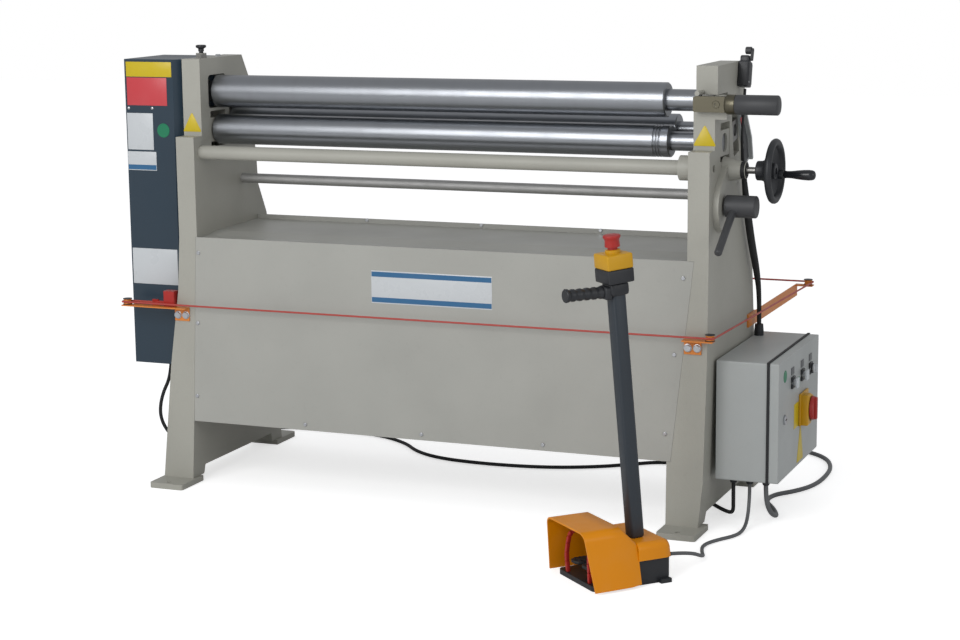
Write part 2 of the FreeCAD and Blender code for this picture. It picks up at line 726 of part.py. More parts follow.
def chain_centres():
    """Distance between the two sprockets that takes the chain's links exactly."""
    distance = 380.0
    for _ in range(20):
        slant = math.asin((top_pitch_r - motor_pitch_r) / distance)
        wrap = top_pitch_r * (math.pi + 2 * slant) + motor_pitch_r * (math.pi - 2 * slant)
        distance = (chain_links * chain_pitch - wrap) / 2 / math.cos(slant)
    return distance


motor_z = top_z - chain_centres()


def sprocket(z, pitch_r, teeth, bore):
    body = toothed(teeth, pitch_r - 6.2, pitch_r + 4.5, 7.0, 2.6, math.pi / 2,
                   sprocket_x - 5.5, sprocket_x + 5.5, roll_y, z)
    hub = cyl_x(roll_y, z, 27, sprocket_x - 14, sprocket_x + 14)
    return cut(fuse(body, hub), cyl_x(roll_y, z, bore, sprocket_x - 20, sprocket_x + 20))


def drive_shaft():
    """Short shaft in line with the top roll; its fork drives the roll's tongue."""
    x1 = dog_x - 1
    shaft = cyl_x(roll_y, top_z, drive_shaft_r, sprocket_x - 40, x1 - 3)
    fork = cyl_x(roll_y, top_z, 22, x1 - 12, x1)
    open_half = tongue_half + tongue_play
    slot = box(x1 - 10, x1 + 1, roll_y - 30, roll_y + 30, top_z - open_half,
               top_z + open_half)
    return cut(fuse(shaft, fork), slot)


def chain_band(x0, x1):
    outer = link(roll_y, top_z, top_pitch_r + 7, roll_y, motor_z, motor_pitch_r + 7, x0, x1)
    inner = link(roll_y, top_z, top_pitch_r - 7, roll_y, motor_z, motor_pitch_r - 7,
                 x0 - 1, x1 + 1)
    return cut(outer, inner)


def drive_chain():
    """Side plates of the chain as two bands, with rollers between them on both strands."""
    gap = 6.0
    pieces = [chain_band(sprocket_x - gap - 3, sprocket_x - gap),
              chain_band(sprocket_x + gap, sprocket_x + gap + 3)]
    slant = math.asin((top_pitch_r - motor_pitch_r) / chain_centres())
    run = chain_centres() * math.cos(slant)
    for side in (-1, 1):
        start = V(0, roll_y + side * top_pitch_r * math.cos(slant),
                  top_z + top_pitch_r * math.sin(slant))
        step = V(0, -side * math.sin(slant), -math.cos(slant))
        for k in range(3, int(run / chain_pitch) - 1):
            point = start.add(V(step).multiply(k * chain_pitch))
            pieces.append(cyl_x(point.y, point.z, 5, sprocket_x - gap, sprocket_x + gap))
    return group(pieces)


shelf_z = motor_z - motor_pitch_r - 32
motor_x = sprocket_x - 66.0


def motor_bracket():
    back = left_back - 12
    plate = box(back - 12, back, -190, -60, shelf_z - 68, shelf_z)
    shelf = box(motor_x - 56, back, -190, -60, shelf_z, shelf_z + 12)
    body = fuse(plate, shelf)
    return cut(body, cyl_z(motor_x, roll_y, 52, shelf_z - 1, shelf_z + 13))


def gear_motor():
    """Worm gear case on the shelf with the motor hanging below it."""
    case = box(motor_x - 50, motor_x + 42, roll_y - 56, roll_y + 56, shelf_z + 12, motor_z + 56)
    case = case.makeFillet(8, parallel_edges(case, X_AXIS))
    output = cyl_x(roll_y, motor_z, 14, motor_x + 22, sprocket_x + 13)
    case = cut(case, cyl_x(roll_y, motor_z, 14 + running, motor_x + 21, motor_x + 50))
    neck = cyl_z(motor_x, roll_y, 50, shelf_z - 8, shelf_z + 13)
    motor = cyl_z(motor_x, roll_y, 57, shelf_z - 240, shelf_z - 8)
    return fuse(case, neck, motor), output


# ---------------------------------------------------------------- gear cover
cover_left, cover_notch_x = left_back - 179.0, left_back - 31.0
cover_front, cover_rear = upper_front_y + 2, -4.0
cover_t = 2.0


def cover_block(shrink):
    """Outer or inner envelope of the gear cover; its right edge follows the frame."""
    right = left_back - seat
    plan = [(cover_left + shrink, cover_front + shrink),
            (cover_notch_x - shrink / 2, cover_front + shrink),
            (right, cover_front + 28 + shrink / 2), (right, cover_rear - shrink),
            (cover_left + shrink, cover_rear - shrink)]
    body = prism_z(plan, cover_bottom + shrink, cover_top - shrink)
    edge = [(-2000, 0), (left_face - 96 - seat, 0), (left_face - 96 - seat, cover_bottom - 2),
            (left_face - 64 - seat, leg_z), (right, tray_z), (right, 2 * frame_top),
            (-2000, 2 * frame_top)]
    return body.common(prism_y(edge, -600, 600))


def gear_cover():
    outer = cover_block(0)
    inner = cover_block(cover_t)
    inner = fuse(inner, inner.translated(V(cover_t, 0, 0)))
    body = cut(outer, inner)
    relief = box(left_back - 14, left_back + 20, -200, -50, shelf_z - 80, shelf_z + 14)
    cable_hole = cyl_z(motor_x, roll_y, motor_cable_d / 2 + 1, cover_bottom - 1, cover_bottom + 5)
    return cut(body, relief, cable_hole)


# ---------------------------------------------------------------- tie, panels and tray
sheet = 2.0
tray_rear_y = 84.0
tray_front_y = front_y + sheet
tray_rise = 7.0


def front_panel():
    """Front sheet between the frames with folded edges behind it."""
    y0, y1 = front_y, front_y + sheet
    left_top, left_low = left_face - 4, left_face - 27
    right_top, right_low = right_face + 17, right_face - 40
    top = tray_z + 2
    face = prism_y([(left_top, top), (left_low, panel_bottom), (right_low, panel_bottom),
                    (right_top, top)], y0, y1)
    fold = box(left_low + 30, right_low - 30, y0, y0 + 22, panel_bottom, panel_bottom + sheet)
    return fuse(face, fold)


def panel_recess():
    """Shallow recess in the right frame's front face behind the panel's edge."""
    y0, y1 = front_y - 1, front_y + sheet
    return prism_y([(left_face - 4.5, tray_z + 2.5), (left_face - 27.5, panel_bottom - 0.5),
                    (right_face - 39.5, panel_bottom - 0.5), (right_face + 17.5, tray_z + 2.5)],
                   y0, y1)


def rear_panel():
    """Rear sheet between the frames, leaning with their rear edges."""
    slope = (rear_y - knee_y) / (knee_z - foot_thickness)
    y_top = knee_y + slope * (knee_z - tray_z)
    y_low = knee_y + slope * (knee_z - panel_bottom)
    profile = [(y_low, panel_bottom), (y_top, tray_z), (y_top + sheet, tray_z),
               (y_low + sheet, panel_bottom)]
    outline = [(left_face - 40, panel_bottom - 1), (right_face + 40, panel_bottom - 1),
               (right_face + 40, tray_z + 1), (left_face - 40, tray_z + 1)]
    return prism_x(profile, -900, 900).common(prism_y(outline, -600, 600))


def top_tray():
    """Catch tray under the rolls: a shallow folded sheet with a raised rear lip."""
    x0, x1 = left_face + 0.5, right_face - 1
    low = tray_z - 6
    profile = [(tray_front_y, low), (tray_front_y, tray_z), (-205, tray_z),
               (-150, tray_z + tray_rise), (tray_rear_y, tray_z + tray_rise + 2),
               (tray_rear_y, tray_z + 22), (tray_rear_y + sheet, tray_z + 22),
               (tray_rear_y + sheet, tray_z + tray_rise), (-150, tray_z + tray_rise - sheet),
               (-205, tray_z - sheet), (tray_front_y + sheet, tray_z - sheet),
               (tray_front_y + sheet, low)]
    return prism_x(profile, x0, x1)


def screw_y(x, z, y, r=5.0, head=3.0, sign=-1):
    """Button-head screw whose axis runs along Y; the head stands on the side named by sign."""
    if sign < 0:
        disc = cyl_y(x, z, r, y - head, y)
    else:
        disc = cyl_y(x, z, r, y, y + head)
    return disc.makeFillet(1.2, [e for e in disc.Edges if abs(
        e.CenterOfMass.y - (y + sign * head)) < 0.01 and isinstance(e.Curve, Part.Circle)])


def panel_screws():
    """Button-head screws of the front panel and the rear lip of the tray."""
    screws = []
    left_low, right_low = left_face - 27, right_face - 40
    for share in (0.08, 0.46, 0.86):
        z = tray_z - share * (tray_z - panel_bottom)
        screws.append(screw_y(left_face - 4 - share * 23 + 9, z, front_y))
        screws.append(screw_y(right_face + 17 - share * 57 - 22, z, front_y))
    for k in range(1, 4):
        x = left_low + k * (right_low - left_low) / 4
        screws.append(screw_y(x, panel_bottom + 16, front_y))
    for k in range(1, 4):
        x = left_face + k * (right_face - left_face) / 4
        screws.append(screw_y(x, tray_z + 18, tray_rear_y))
    return group(screws)


# ---------------------------------------------------------------- release end
gate_y0, gate_y1 = upper_front_y - 24.0, upper_front_y - 2.0
gate_x0, gate_x1 = right_face + 5.0, right_back + 30.0
gate_pivot_x = right_back + 8.5
gate_h = 38.0
pivot_r, pivot_head_r, pivot_head_t = 6.0, 9.0, 6.0
stud_x, stud_r = right_face + 15.5, 6.0
grip_r, grip_length = 24.0, 132.0


def keeper_gate():
    """Latch bar across the slot in front of the end bearing."""
    z0, z1 = top_z - gate_h / 2, top_z + gate_h / 2
    bar = box(gate_x0, gate_x1, gate_y0, gate_y1, z0, z1)
    bar = rounded(bar, 5, Y_AXIS, lambda c: c.x < gate_x0 + 1)
    bore = cyl_y(gate_pivot_x, top_z, pivot_r + running, gate_y0 - 1, gate_y1 + 1)
    sink = cyl_y(gate_pivot_x, top_z, pivot_head_r + loose, gate_y0 - 1,
                 gate_y0 + pivot_head_t + 2 * loose)
    return cut(bar, bore, sink)


def latch_fixings():
    """Fixed lug and screw of the latch bar, and the stud above its end.

    The weight of the grip holds the bar up against the stud until the grip is lifted."""
    lug_r = gate_x1 - gate_pivot_x - 1.5
    lug = box(right_back - 1, gate_pivot_x, upper_front_y, upper_front_y + 34,
              top_z - gate_h, top_z + gate_h / 2)
    lower = box(gate_pivot_x, gate_pivot_x + lug_r, upper_front_y, upper_front_y + 34,
                top_z - gate_h, top_z)
    lug = fuse(lug, lower, cyl_y(gate_pivot_x, top_z, lug_r, upper_front_y, upper_front_y + 34))
    head_y = gate_y0 + loose
    screw = fuse(cyl_y(gate_pivot_x, top_z, pivot_head_r, head_y, head_y + pivot_head_t),
                 cyl_y(gate_pivot_x, top_z, pivot_r, head_y, upper_front_y + 1))
    screw = cut(screw, cyl_y(gate_pivot_x, top_z, 4, head_y - 1, head_y + 4))
    stud_z = top_z + end_block / 2 + slide_gap + stud_r
    stud = cyl_y(stud_x, stud_z, stud_r, gate_y0 - 2, upper_front_y + 23)
    return fuse(lug, screw, stud)


def keeper_grip():
    grip = cyl_x((gate_y0 + gate_y1) / 2, top_z, grip_r, gate_x1, gate_x1 + grip_length)
    return grip.makeFillet(4, [e for e in grip.Edges if isinstance(e.Curve, Part.Circle)
                               and e.CenterOfMass.x > gate_x1 + 1])


def limit_switch():
    """Roller lever switch on the right frame's outer face, leaning with the frame's edge."""
    x0 = right_back
    body = box(x0, x0 + 28, -18, 20, top_z + 26, top_z + 90)
    head = box(x0 + 2, x0 + 26, -10, 12, top_z + 90, top_z + 105)
    cap = cyl_x(1, top_z + 99, 5, x0 + 26, x0 + 32)
    return turned(fuse(body, head, cap), -lean_deg, V(x0, 0, top_z + 60), X_AXIS)


def switch_lever():
    x0 = right_back + 26 + 1
    arm = link(1, top_z + 99, 8, 6, top_z + 118, 6, x0, x0 + 5)
    arm = cut(arm, cyl_x(1, top_z + 99, 5 + running, x0 - 1, x0 + 8))
    roller = cyl_x(6, top_z + 118, 9, x0 - 9, x0)
    return turned(fuse(arm, roller), -lean_deg, V(right_back, 0, top_z + 60), X_AXIS)


def scale_plate():
    """Slanted plate beside the rear roll's guide with a bare scale strip on it."""
    x0 = right_back
    top = rear_z + 49
    outline = [(14, top), (72, top - 74), (88, top - 129), (44, top - 150), (24, top - 134),
               (24, top - 94), (-10, top - 34), (-14, top)]
    plate = prism_x(outline, x0, x0 + 6)
    rim = prism_x([(14, top), (72, top - 74), (88, top - 129), (80, top - 133),
                   (64, top - 77), (6, top)], x0 + 6, x0 + 16)
    return fuse(plate, rim)


plunger_x, plunger_y = left_face - 27.0, -158.0
plunger_pin_r = 6.0


def plunger_bush():
    hexagon = Part.makePolygon([V(plunger_x + 16 * math.cos(math.radians(60 * k)),
                                  plunger_y + 16 * math.sin(math.radians(60 * k)), frame_top)
                                for k in range(7)])
    body = Part.Face(hexagon).extrude(V(0, 0, 13))
    return cut(body, cyl_z(plunger_x, plunger_y, plunger_pin_r + running, frame_top - 1,
                           frame_top + 20))


def plunger_knob():
    z = frame_top + 13 + loose
    pin = cyl_z(plunger_x, plunger_y, plunger_pin_r, frame_top - 30, z + 4)
    stem = cyl_z(plunger_x, plunger_y, 8, z, z + 12)
    head = cyl_z(plunger_x, plunger_y, 14, z + 12, z + 21)
    head = head.makeFillet(2.5, [e for e in head.Edges if isinstance(e.Curve, Part.Circle)])
    return fuse(pin, stem, head)


# ---------------------------------------------------------------- emergency rope
rope_z = tray_z - 182.0
rope_d = 5.0
guide_y = front_y - 11.0
left_guide_x, right_guide_x = left_back - 162.0, right_back + 8.5
rear_guide_x, rear_guide_y = right_back + 37.5, 625.0
guide_r = 11.0
guide_half = 8.0
rope_run_r = guide_r + 1.2          # radius of the rope's centre line round a guide
bracket_plate = 3.0
arm_h = 34.0
eye_x = left_back - 90.0


def rope_bracket(x0, x1, reach_x):
    """Orange angle plate bolted on a leg, with an arm along X that ends in the guide."""
    z0 = rope_z - 46
    plate = box(x0, x1, front_y - bracket_plate, front_y, z0, rope_z - 8)
    lo, hi = min(x0, reach_x - 10), max(x1, reach_x + 10)
    arm = box(lo, hi, front_y - 28, front_y, rope_z - 8 - bracket_plate, rope_z - 8)
    body = fuse(plate, arm)
    for x in (x0 + 10, x1 - 10):
        body = fuse(body, screw_y(x, z0 + 16, front_y - bracket_plate, 8, 5))
    return body


def rear_arm(side):
    """Orange arm bolted on a frame's outer side, reaching back to the rear rope guide."""
    top = rope_z - guide_half
    inner, outer = (right_back - 8, right_back + 3) if side > 0 else (left_back - 22, left_back)
    root = box(inner, outer, 110, 190, top - arm_h, top)
    blade_x = right_back if side > 0 else left_back - 22
    blade = box(blade_x, blade_x + bracket_plate, 110, rear_guide_y + 14, top - arm_h, top)
    tip = side * (rear_guide_x + 14)
    lo, hi = min(blade_x, tip), max(blade_x + bracket_plate, tip)
    shelf = box(lo, hi, rear_guide_y - 14, rear_guide_y + 14, top - bracket_plate, top)
    return fuse(root, blade, shelf)


def spool(x, y):
    body = cyl_z(x, y, guide_r, rope_z - guide_half, rope_z + guide_half)
    groove = Part.makeTorus(rope_run_r, rope_d / 2 + seat, V(x, y, rope_z), Z_AXIS)
    return cut(body, groove)


def rope_end():
    """Block on the rear left arm that holds the rope's end."""
    x = -rear_guide_x
    y = rear_guide_y + rope_run_r
    return box(x - 14, x + 14, y - 9, y + 9, rope_z - guide_half, rope_z + guide_half)


def rope_brackets(frames):
    """Orange rope brackets with their guide spools and the block at the rope's end."""
    left_front = rope_bracket(left_face - 74, left_face - 30, left_guide_x)
    right_front = rope_bracket(right_face - 6, right_face + 38, right_guide_x)
    arms = [rear_arm(1), rear_arm(-1)]
    arms = [cut(arm, *frames) for arm in arms]
    spools = [spool(left_guide_x, guide_y), spool(right_guide_x, guide_y),
              spool(rear_guide_x, rear_guide_y)]
    return group([left_front, right_front] + arms + spools + [rope_end()])


def rope_switch():
    """Red pull switch on the left bracket; the rope hooks into its eye."""
    y = guide_y + rope_run_r
    low = rope_z - guide_half
    body = box(left_back - 50, left_back - 17, y - 13, y + 13, low, low + 42)
    body = body.makeFillet(3, parallel_edges(body, Z_AXIS))
    plunger = cyl_x(y, rope_z, 5, eye_x + 16, left_back - 49)
    eye = box(eye_x, eye_x + 18, y - 3, y + 3, rope_z - 8, rope_z + 8)
    return fuse(body, plunger, eye)


def safety_rope():
    """Taut rope from the switch round the guides to the rear left arm, in one level plane."""
    centres = [V(left_guide_x, guide_y, rope_z), V(right_guide_x, guide_y, rope_z),
               V(rear_guide_x, rear_guide_y, rope_z)]
    start = V(eye_x, guide_y + rope_run_r, rope_z)
    finish = V(-rear_guide_x + 14, rear_guide_y + rope_run_r, rope_z)
    headings = [V(-1, 0, 0)]
    for near, far in zip(centres, centres[1:]):
        heading = far.sub(near)
        heading.normalize()
        headings.append(heading)
    headings.append(V(-1, 0, 0))
    edges, here = [], start
    for centre, inward, onward in zip(centres, headings, headings[1:]):
        enter = centre.add(V(inward.y, -inward.x, 0).multiply(rope_run_r))
        leave = centre.add(V(onward.y, -onward.x, 0).multiply(rope_run_r))
        corner = inward.sub(onward)
        corner.normalize()
        edges.append(Part.LineSegment(here, enter).toShape())
        edges.append(Part.Arc(enter, centre.add(corner.multiply(rope_run_r)), leave).toShape())
        here = leave
    edges.append(Part.LineSegment(here, finish).toShape())
    path = Part.Wire(edges)
    ring = Part.Wire([Part.makeCircle(rope_d / 2, start, V(1, 0, 0))])
    print("safety rope length", round(path.Length))
    return path.makePipeShell([ring], True, False)


# ---------------------------------------------------------------- control box
box_x0, box_x1 = right_back + 6.0, right_back + 136.0
gasket_t, door_t = 4.0, 24.0
box_y0, box_y1 = -203.0, 217.0
box_z0, box_z1 = 128.0, 431.0
box_wall = 2.5
door_x0 = box_x1 + gasket_t
door_x1 = door_x0 + door_t


def control_box(frame):
    """Steel case open towards the door, on two rails bolted to the right frame."""
    outer = box(box_x0, box_x1, box_y0, box_y1, box_z0, box_z1)
    outer = rounded(outer, 4, X_AXIS)
    inner = box(box_x0 + box_wall, box_x1 + 1, box_y0 + box_wall, box_y1 - box_wall,
                box_z0 + box_wall, box_z1 - box_wall)
    body = cut(outer, inner)
    for z in (box_z0 + 70, box_z1 - 40):
        rail = box(right_back - 12, box_x0, -150, 40, z - 14, z + 14)
        body = fuse(body, cut(rail, frame))
    return group([body, box_gasket()])


def box_gasket():
    ring = box(box_x1, door_x0, box_y0 + 1, box_y1 - 1, box_z0 + 1, box_z1 - 1)
    return cut(ring, box(box_x1 - 1, door_x0 + 1, box_y0 + 12, box_y1 - 12, box_z0 + 12,
                         box_z1 - 12))


def box_door():
    door = rounded(box(door_x0, door_x1, box_y0, box_y1, box_z0, box_z1), 4, X_AXIS)
    inner = box(door_x0 - 1, door_x1 - box_wall, box_y0 + 12, box_y1 - 12, box_z0 + 12,
                box_z1 - 12)
    door = cut(door, inner)
    for y in button_ys:
        door = cut(door, cyl_x(y, button_row_z, 11, door_x0, door_x1 + 1))
    door = cut(door, cyl_x(switch_y, switch_z, 10, door_x0, door_x1 + 1),
               cyl_x(lock_y, lock_z, 9, door_x0, door_x1 + 1))
    return group([door] + [bezel(y, button_row_z) for y in button_ys])


button_row_z = 359.0
start_y, stop_y, selector_y = -65.0, 36.0, 124.0
switch_y, switch_z = 48.0, 271.0
lock_y, lock_z = -142.0, 279.0
button_ys = (start_y, stop_y, selector_y)


def bezel(y, z):
    ring = cyl_x(y, z, 15, door_x1, door_x1 + 5)
    neck = cyl_x(y, z, 11 - running, door_x1 - box_wall, door_x1 + 1)
    ring = fuse(ring, neck)
    return cut(ring, cyl_x(y, z, 9, door_x1 - 10, door_x1 + 10))


def push_button(y):
    cap = cyl_x(y, button_row_z, 9 - running, door_x1 - 8, door_x1 + 12)
    return cap.makeFillet(1.5, [e for e in cap.Edges if isinstance(e.Curve, Part.Circle)
                                and e.CenterOfMass.x > door_x1 + 11])


def selector():
    stem = cyl_x(selector_y, button_row_z, 9 - running, door_x1 - 8, door_x1 + 8)
    bar = box(door_x1 + 7, door_x1 + 20, selector_y - 4, selector_y + 4, button_row_z - 13,
              button_row_z + 13)
    return fuse(stem, bar.makeFillet(2, bar.Edges))


def switch_body():
    """Yellow escutcheon of the main switch with a raised guard round its handle."""
    plate = box(door_x1, door_x1 + 6, switch_y - 42, switch_y + 42, switch_z - 42, switch_z + 42)
    plate = rounded(plate, 8, X_AXIS)
    ring = cut(cyl_x(switch_y, switch_z, 34, door_x1 + 5, door_x1 + 26),
               cyl_x(switch_y, switch_z, 29, door_x1 + 4, door_x1 + 27))
    ring = cut(ring, box(door_x1 + 10, door_x1 + 30, switch_y + 8, switch_y + 50,
                         switch_z - 50, switch_z + 50))
    return cut(fuse(plate, ring), cyl_x(switch_y, switch_z, 8, door_x1 - 1, door_x1 + 30))


def switch_handle():
    stem = cyl_x(switch_y, switch_z, 8 - running, door_x1 - 10, door_x1 + 10)
    disc = cyl_x(switch_y, switch_z, 27, door_x1 + 8, door_x1 + 14)
    bar = box(door_x1 + 12, door_x1 + 34, switch_y - 7, switch_y + 7, switch_z - 26,
              switch_z + 26)
    return fuse(stem, disc, bar.makeFillet(4, bar.Edges))


def door_lock():
    barrel = cyl_x(lock_y, lock_z, 9 - running, door_x1 - 14, door_x1 + 1)
    head = cyl_x(lock_y, lock_z, 11, door_x1 + seat, door_x1 + 5)
    slot = box(door_x1 + 3, door_x1 + 6, lock_y - 1.5, lock_y + 1.5, lock_z - 9, lock_z + 9)
    return cut(fuse(barrel, head), slot)


gland_xs = [box_x0 + 28 + 42 * k for k in range(3)]
gland_y = -135.0
gland_bottom = box_z0 - 22.0
trunk_x, trunk_y = box_x0 + 13.0, 156.0
trunk_d = 20.0
gland_top = box_z1 + 30.0


def cable_glands():
    """Threaded glands under the box and one on its top for the cable trunk."""
    glands = []
    for x in gland_xs:
        nut = cyl_z(x, gland_y, 13, box_z0 - 10, box_z0)
        cap = Part.makeCone(8, 12, 12, V(x, gland_y, gland_bottom), Z_AXIS)
        glands.append(fuse(nut, cap))
    nut = cyl_z(trunk_x, trunk_y, 12.5, box_z1, box_z1 + 12)
    cap = Part.makeCone(12.5, 11, gland_top - box_z1 - 12, V(trunk_x, trunk_y, box_z1 + 12),
                        Z_AXIS)
    glands.append(fuse(nut, cap))
    return group(glands)


# ---------------------------------------------------------------- pedal stand
pedal_turn = -42.0
pedal_home = V(box_x0 - 181.5, -752, 0)
base_w, base_d, base_h = 176.0, 200.0, 12.0
hood_w, hood_h, hood_t = 218.0, 142.0, 4.0
hood_lip, roof_end = 22.0, 77.0
column_x, column_y = 40.0, 149.0
column_w = 42.0
column_len = 590.0
column_lean = 4.6
rear_top = 100.0
pedal_axis_y, pedal_axis_z = 112.0, 40.0


def on_floor(shape):
    """Turns a piece of the pedal stand about the vertical and puts it in its place."""
    copy = turned(shape, pedal_turn, V(0, 0, 0), Z_AXIS)
    copy.translate(pedal_home)
    return copy


def pedal_base():
    """Black floor plate with the rear switch case and the two pedal pivots' lugs."""
    plate = rounded(box(-base_w / 2, base_w / 2, 6, base_d + 8, 0, base_h), 14, Z_AXIS)
    case = box(-88, 88, 122, 206, base_h - 1, 62)
    case = case.makeFillet(6, parallel_edges(case, Z_AXIS))
    tab = box(72, 100, 176, 204, 0, 10)
    body = fuse(plate, case, tab)
    for x in (-52, 0, 52):
        lug = box(x - 5, x + 5, pedal_axis_y - 10, 124, base_h - 1, pedal_axis_z + 10)
        body = fuse(body, lug)
    return cut(body, cyl_x(pedal_axis_y, pedal_axis_z, 4 + running, -60, 60))


def pedal_hood():
    """Yellow guard: a high roof and two walls in front, a lower case cover behind."""
    half, wall_end = hood_w / 2, 120.0
    outer = prism_y([(-half, 6), (-half + 10, hood_h - 12), (-half + 22, hood_h),
                     (half - 22, hood_h), (half - 10, hood_h - 12), (half, 6)],
                    -hood_lip, wall_end)
    inner = prism_y([(-half + hood_t, 0), (-half + 10 + hood_t, hood_h - 14),
                     (-half + 24, hood_h - hood_t), (half - 24, hood_h - hood_t),
                     (half - 10 - hood_t, hood_h - 14), (half - hood_t, 0)],
                    -hood_lip - 1, wall_end + 1)
    run, drop = wall_end - roof_end, hood_h - rear_top - 1
    back = hood_t * drop / math.hypot(run, drop)
    down = hood_t * run / math.hypot(run, drop)
    slope = prism_x([(roof_end, hood_h), (roof_end, hood_h + 1), (wall_end + 3, hood_h + 1),
                     (wall_end + 3, rear_top + 1), (wall_end, rear_top + 1)], -300, 300)
    under = prism_x([(roof_end - back, hood_h - down), (roof_end - back, hood_h + 1),
                     (wall_end + run, hood_h + 1),
                     (wall_end - back + run, rear_top + 1 - down - drop)], -300, 300)
    front = cut(cut(outer, slope), cut(inner, under))
    rake = prism_x([(-hood_lip - 1, -1), (0, -1), (-hood_lip, hood_h),
                    (-hood_lip - 1, hood_h)], -300, 300)
    front = cut(front, rake)
    back_outer = prism_y([(-96, 62), (-96, rear_top - 14), (-84, rear_top), (84, rear_top),
                          (96, rear_top - 14), (96, 62)], wall_end, 212)
    back_inner = box(-84, 84, 116, 202, 50, rear_top - hood_t)
    joint = cut(prism_y([(-half, 6), (-half + 10, hood_h - 12), (-half + 22, hood_h),
                         (half - 22, hood_h), (half - 10, hood_h - 12), (half, 6)], 116, 122),
                prism_y([(-90, 0), (-90, rear_top - hood_t), (90, rear_top - hood_t),
                         (90, 0)], 110, 130))
    return fuse(front, cut(joint, slope), cut(back_outer, back_inner))


def foot_pedal(side):
    """Treadle on its own pivot pin; side is -1 or 1."""
    x = 26 * side
    plate = box(x - 20, x + 20, 22, pedal_axis_y - 6, pedal_axis_z - 2, pedal_axis_z + 6)
    plate = rounded(plate, 10, Z_AXIS, lambda c: c.y < 60)
    inner, outer = sorted((2 * side, 56 * side))
    pin = cyl_x(pedal_axis_y, pedal_axis_z, 4, inner, outer)
    hub = cyl_x(pedal_axis_y, pedal_axis_z, 8, x - 20.5, x + 20.5)
    return fuse(plate, hub, pin)


def lean_up(shape):
    return turned(shape, column_lean, V(column_x, column_y, rear_top), X_AXIS)


def chamfered_square(width, corner):
    half = width / 2
    points = []
    for sx, sy in ((1, 1), (-1, 1), (-1, -1), (1, -1)):
        first, second = (half - corner, half), (half, half - corner)
        pair = [second, first] if sx * sy > 0 else [first, second]
        points += [(column_x + sx * a, column_y + sy * b) for a, b in pair]
    return points


def column():
    """Chamfered square tube that leans towards the operator."""
    outer = prism_z(chamfered_square(column_w, 9), rear_top - 8, rear_top + column_len)
    inner = prism_z(chamfered_square(column_w - 6, 8), rear_top - 9, rear_top + column_len + 1)
    body = lean_up(cut(outer, inner))
    return cut(body, box(-200, 200, 0, 300, 0, rear_top + 0.3))


stop_box_w, stop_box_h = 72.0, 66.0
stop_split = 34.0


def stop_box():
    """Two-part button box on the column's head; the lower part's collar holds the tube."""
    half = stop_box_w / 2
    z0 = rear_top + column_len
    lower = box(column_x - half, column_x + half, column_y - half, column_y + half, z0,
                z0 + stop_split)
    lower = rounded(lower, 4, Z_AXIS)
    collar = cut(prism_z(chamfered_square(column_w + 12, 10), z0 - 34, z0 + 1),
                 prism_z(chamfered_square(column_w + 0.4, 9), z0 - 35, z0))
    return lean_up(fuse(lower, collar))


def stop_lid():
    half = stop_box_w / 2
    z0 = rear_top + column_len + stop_split
    lid = box(column_x - half, column_x + half, column_y - half, column_y + half, z0,
              z0 + stop_box_h - stop_split)
    lid = lid.makeFillet(4, [e for e in lid.Edges if e.CenterOfMass.z > z0 + 1])
    neck = cyl_z(column_x, column_y, 17, z0 + stop_box_h - stop_split - 1,
                 z0 + stop_box_h - stop_split + 8)
    return lean_up(cut(fuse(lid, neck), cyl_z(column_x, column_y, 12, z0 + 4, z0 + 60)))


def stop_button():
    z0 = rear_top + column_len + stop_box_h + 8
    stem = cyl_z(column_x, column_y, 12 - running, z0 - 16, z0 + 10)
    skirt = Part.makeCone(18, 20, 26, V(column_x, column_y, z0 + 8), Z_AXIS)
    head = fuse(stem, skirt)
    top = [e for e in head.Edges if isinstance(e.Curve, Part.Circle)
           and e.CenterOfMass.z > z0 + 33]
    return lean_up(head.makeFillet(3, top))


def column_grip():
    """Ribbed hand grip that stands out in front of the column's head."""
    z = rear_top + column_len - 20
    y0 = column_y - column_w / 2 - 6
    bar = cyl_y(column_x, z, 12, y0 - 104, y0 - 0.2)
    for k in range(6):
        rib = Part.makeTorus(12.5, 2.0, V(column_x, y0 - 14 - k * 15, z), Y_AXIS)
        bar = fuse(bar, rib)
    pad = box(column_x - 18, column_x + 18, y0 - 14, y0 - 0.2, z - 18, z + 18)
    return lean_up(fuse(bar, pad))


# ---------------------------------------------------------------- drive bearing
post_r = 7.0
post_spots = ((-64.0, 50.0), (64.0, 50.0), (75.0, -50.0))      # clear of the chain's strands


def drive_bearing():
    """Outboard bearing plate of the drive shaft on three posts from the left frame."""
    x0, x1 = sprocket_x - 40, sprocket_x - 26
    plate = box(x0, x1, roll_y - 84, roll_y + 84, top_z - 60, top_z + 60)
    plate = rounded(plate, 12, X_AXIS)
    plate = cut(plate, cyl_x(roll_y, top_z, drive_shaft_r + running, x0 - 1, x1 + 1))
    for dy, dz in post_spots:
        plate = fuse(plate, cyl_x(roll_y + dy, top_z + dz, post_r, x1 - 1, left_back))
    return plate


# ---------------------------------------------------------------- cables
strain_x, strain_y, strain_z = 18.0, 206.0, 40.0
strain_len = 42.0


def strain_relief():
    nut = cyl_y(strain_x, strain_z, 11, strain_y, strain_y + 12)
    boot = Part.makeCone(9, 6, strain_len - 12, V(strain_x, strain_y + 12, strain_z), Y_AXIS)
    return fuse(nut, boot)


pedal_cable_d, motor_cable_d, supply_cable_d = 9.0, 10.0, 12.0
pedal_exit = on_floor(Part.Vertex(strain_x, strain_y + strain_len + 0.5, strain_z)).Point


def beyond(x, points):
    """Points whose X is counted from a piece of the machine that the cable hangs from."""
    return [(x + dx, y, z) for dx, y, z in points]


